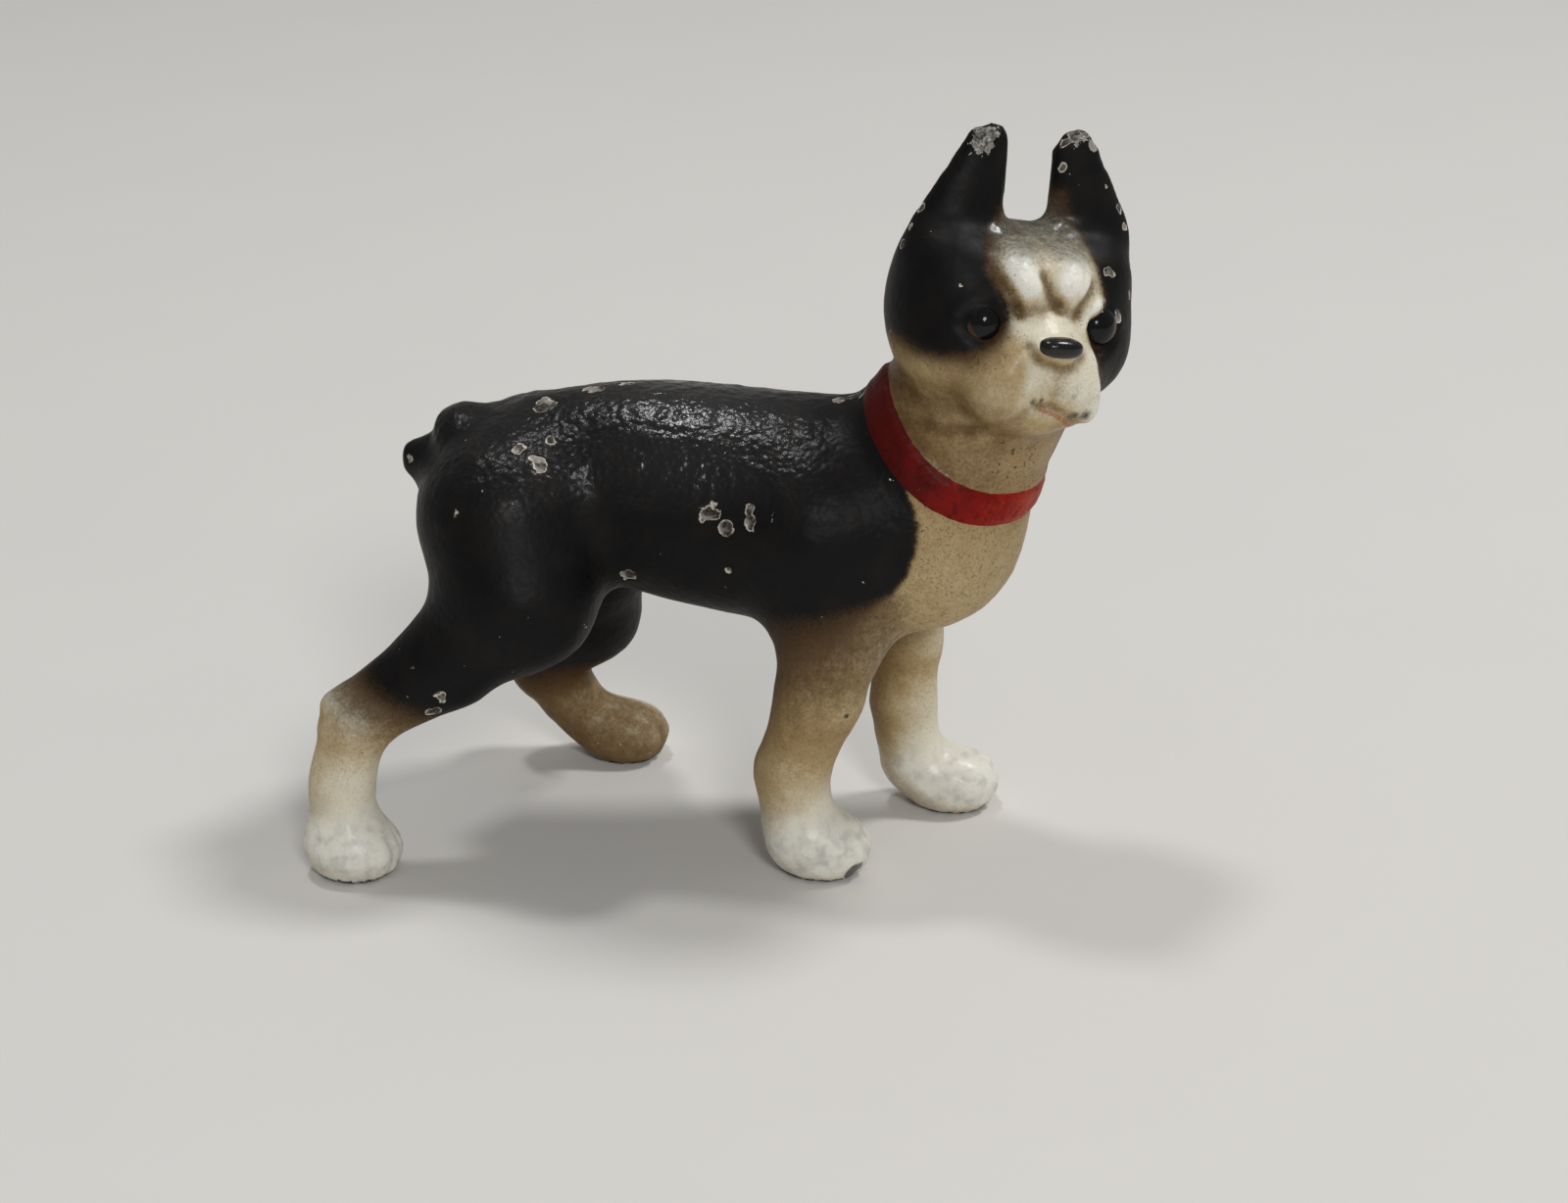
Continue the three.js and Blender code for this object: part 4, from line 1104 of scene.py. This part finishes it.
def set_up_camera(focal_length):
    lens = bpy.data.cameras.new("camera")
    lens.lens = focal_length
    lens.sensor_width = SENSOR_WIDTH
    lens.clip_start = NEAREST_SEEN
    level = math.cos(CAMERA_RISE)
    offset = Vector((math.sin(CAMERA_TURN) * level, -math.cos(CAMERA_TURN) * level, math.sin(CAMERA_RISE)))
    camera = new_object("camera", lens)
    camera.location = CAMERA_AIM + CAMERA_AWAY * offset
    look_along(camera, -offset)
    return camera


# Operators

class PAPERWEIGHT_OT_castings(Operator):
    """Model and paint the right and left castings"""

    bl_idname = "paperweight.castings"
    bl_label = "Painted Castings"

    def execute(self, context):
        sizes = context.scene.paperweight_sizes
        paint = context.scene.paperweight_paint
        eye = wet_bead("eye_black", paint, shine=0.26, dull=0.12)
        nose = wet_bead("nose_black", paint, shine=0.5, dull=0.2)
        finishes = (painted_enamel(paint), eye, bare_casting(paint), nose)
        body = sculpted(iron_stock(sizes.skin_step / MM), sizes)
        body = cut_away(body, bores())
        # A block that reaches this far from the middle takes away the other side
        far = 200
        for side, start, end in (("right", 0, far), ("left", -far, 0)):
            other_side = block_mesh("other_side", (-far, start, -far), (far, end, far))
            half = cut_away(body.copy(), other_side)
            half.name = f"{side}_casting"
            half.materials.clear()
            for finish in finishes:
                half.materials.append(finish)
            hollow = hollows(half)
            if side == "right":
                add_beads(half, sizes)
                hollow = np.append(hollow, np.zeros(len(half.vertices) - len(hollow)))
            mark_joint_faces(half)
            points, _ = mesh_arrays(half)
            for name, values in paint_marks(points, point_normals(half), sizes).items():
                set_mark(half, name, values)
            set_mark(half, "hollow", hollow)
            half.transform(Matrix.Scale(MM, 4))
            piece = new_object(f"{side}_casting", half)
            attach(piece, "root")
            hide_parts(f"{side}_half")
        return {"FINISHED"}


class PAPERWEIGHT_OT_clamp_screw(Operator):
    """Model the slotted screw that draws the castings together"""

    bl_idname = "paperweight.clamp_screw"
    bl_label = "Clamp Screw"

    def execute(self, context):
        low, high = SCREW_LOW[1], SCREW_HIGH[1]
        shank, head = SCREW_SHANK_RADIUS, SCREW_HEAD_RADIUS
        foot = high - SCREW_HEAD_RIM - (head - shank)
        # A blunt point, the thread, and a countersunk head with a rounded rim
        profile = [(shank - 0.7, low), (shank - 0.25, low + 0.5)]
        thread = low + 0.6
        turns = int((foot - low - 1.5) / SCREW_PITCH)
        for n in range(turns):
            profile.append((shank, thread + n * SCREW_PITCH))
            profile.append((shank - SCREW_THREAD_DEPTH, thread + (n + 0.5) * SCREW_PITCH))
        profile += [(shank, foot - 0.2), (shank, foot), (head - 0.1, high - 0.55), (head, high - 0.42)]
        profile += [(head, high - 0.12), (head - 0.12, high), (head * 0.5, high)]
        shape = bmesh.new()
        turned_profile(shape, profile, SCREW_X, SCREW_Z)
        reach, half = head + 1, SLOT_HALF_WIDTH
        slot_low = (SCREW_X - reach, high - SLOT_DEPTH, SCREW_Z - half)
        slot_high = (SCREW_X + reach, high + 1, SCREW_Z + half)
        mesh = cut_away(finished_mesh(shape, "screw"), block_mesh("slot", slot_low, slot_high))
        mesh.name = "slotted_screw"
        points, _ = mesh_arrays(mesh)
        out = np.hypot(points[:, 0] - SCREW_X, points[:, 2] - SCREW_Z)
        near_slot = bump(np.abs(points[:, 2] - SCREW_Z) - half, 0.25) * (points[:, 1] > high - 1.2)
        set_mark(mesh, "rubbed", np.maximum(near_slot, (points[:, 1] < foot) | (out < 0.1)))
        mesh.materials.clear()
        mesh.materials.append(screw_finish(context.scene.paperweight_paint))
        mesh.shade_smooth()
        mesh.set_sharp_from_angle(angle=SHARP_ANGLE)
        mesh.transform(Matrix.Scale(MM, 4))
        piece = new_object("slotted_screw", mesh)
        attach(piece, "root")
        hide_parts("clamp_screw")
        return {"FINISHED"}


class PAPERWEIGHT_OT_dowels(Operator):
    """Model the two dowels that line the castings up"""

    bl_idname = "paperweight.dowels"
    bl_label = "Dowels"

    def execute(self, context):
        finish = dowel_finish(context.scene.paperweight_paint)
        for name in DOWELS:
            low, high = node_box(name)
            middle = (low + high) / 2
            radius = (high[2] - low[2]) / 2
            start, end = low[1], high[1]
            # Chamfered ends, and a shallow groove where the castings meet
            profile = (
                (radius - 0.5, start), (radius - 0.12, start + 0.3), (radius, start + 0.55), (radius, -0.3),
                (radius - 0.06, -0.2), (radius - 0.06, 0.2), (radius, 0.3), (radius, end - 0.55),
                (radius - 0.12, end - 0.3), (radius - 0.5, end))
            shape = bmesh.new()
            turned_profile(shape, profile, middle[0], middle[2], DOWEL_SIDES)
            mesh = finished_mesh(shape, f"ground_{name}")
            mesh.materials.append(finish)
            mesh.shade_smooth()
            mesh.set_sharp_from_angle(angle=SHARP_ANGLE)
            mesh.transform(Matrix.Scale(MM, 4))
            piece = new_object(f"ground_{name}", mesh)
            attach(piece, "root")
            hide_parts(name)
        return {"FINISHED"}


class PAPERWEIGHT_OT_stage(Operator):
    """Set the floor, the lamps and the camera"""

    bl_idname = "paperweight.stage"
    bl_label = "Stage"

    def execute(self, context):
        scene = context.scene
        settings = scene.paperweight_stage
        scene.view_settings.view_transform = "Standard"
        lay_floor(settings)
        light_evenly(scene, settings.sky)
        hang_lamp("key_lamp", (0.55, 0.30, 1.05), 0.24, settings.key)
        hang_lamp("top_lamp", (-0.20, 0.18, 1.08), 0.14, settings.top)
        hang_lamp("front_lamp", (0.40, -1.00, 0.72), 0.32, settings.front)
        scene.camera = set_up_camera(settings.lens)
        return {"FINISHED"}


class PAPERWEIGHT_PT_pieces(Panel):
    """Lists the pieces of the paperweight and their settings"""

    bl_label = "Dog Paperweight"
    bl_idname = "PAPERWEIGHT_PT_pieces"
    bl_space_type = "VIEW_3D"
    bl_region_type = "UI"
    bl_category = "Paperweight"

    def draw(self, context):
        scene = context.scene
        for operator in OPERATORS:
            self.layout.operator(operator.bl_idname)
        for group in (scene.paperweight_sizes, scene.paperweight_paint, scene.paperweight_stage):
            column = self.layout.column(align=True)
            for name in group.__annotations__:
                column.prop(group, name)


OPERATORS = (
    PAPERWEIGHT_OT_castings, PAPERWEIGHT_OT_clamp_screw, PAPERWEIGHT_OT_dowels, PAPERWEIGHT_OT_stage)
CLASSES = (CastingSizes, PaintColours, StageSettings, *OPERATORS, PAPERWEIGHT_PT_pieces)
SETTINGS = {
    "paperweight_sizes": CastingSizes, "paperweight_paint": PaintColours, "paperweight_stage": StageSettings}


def register():
    for cls in CLASSES:
        bpy.utils.register_class(cls)
    for name, group in SETTINGS.items():
        setattr(bpy.types.Scene, name, PointerProperty(type=group))


def unregister():
    for name in SETTINGS:
        delattr(bpy.types.Scene, name)
    for cls in reversed(CLASSES):
        bpy.utils.unregister_class(cls)


def main():
    register()
    bpy.ops.paperweight.castings()
    bpy.ops.paperweight.clamp_screw()
    bpy.ops.paperweight.dowels()
    bpy.ops.paperweight.stage()


if __name__ == "__main__":
    main()
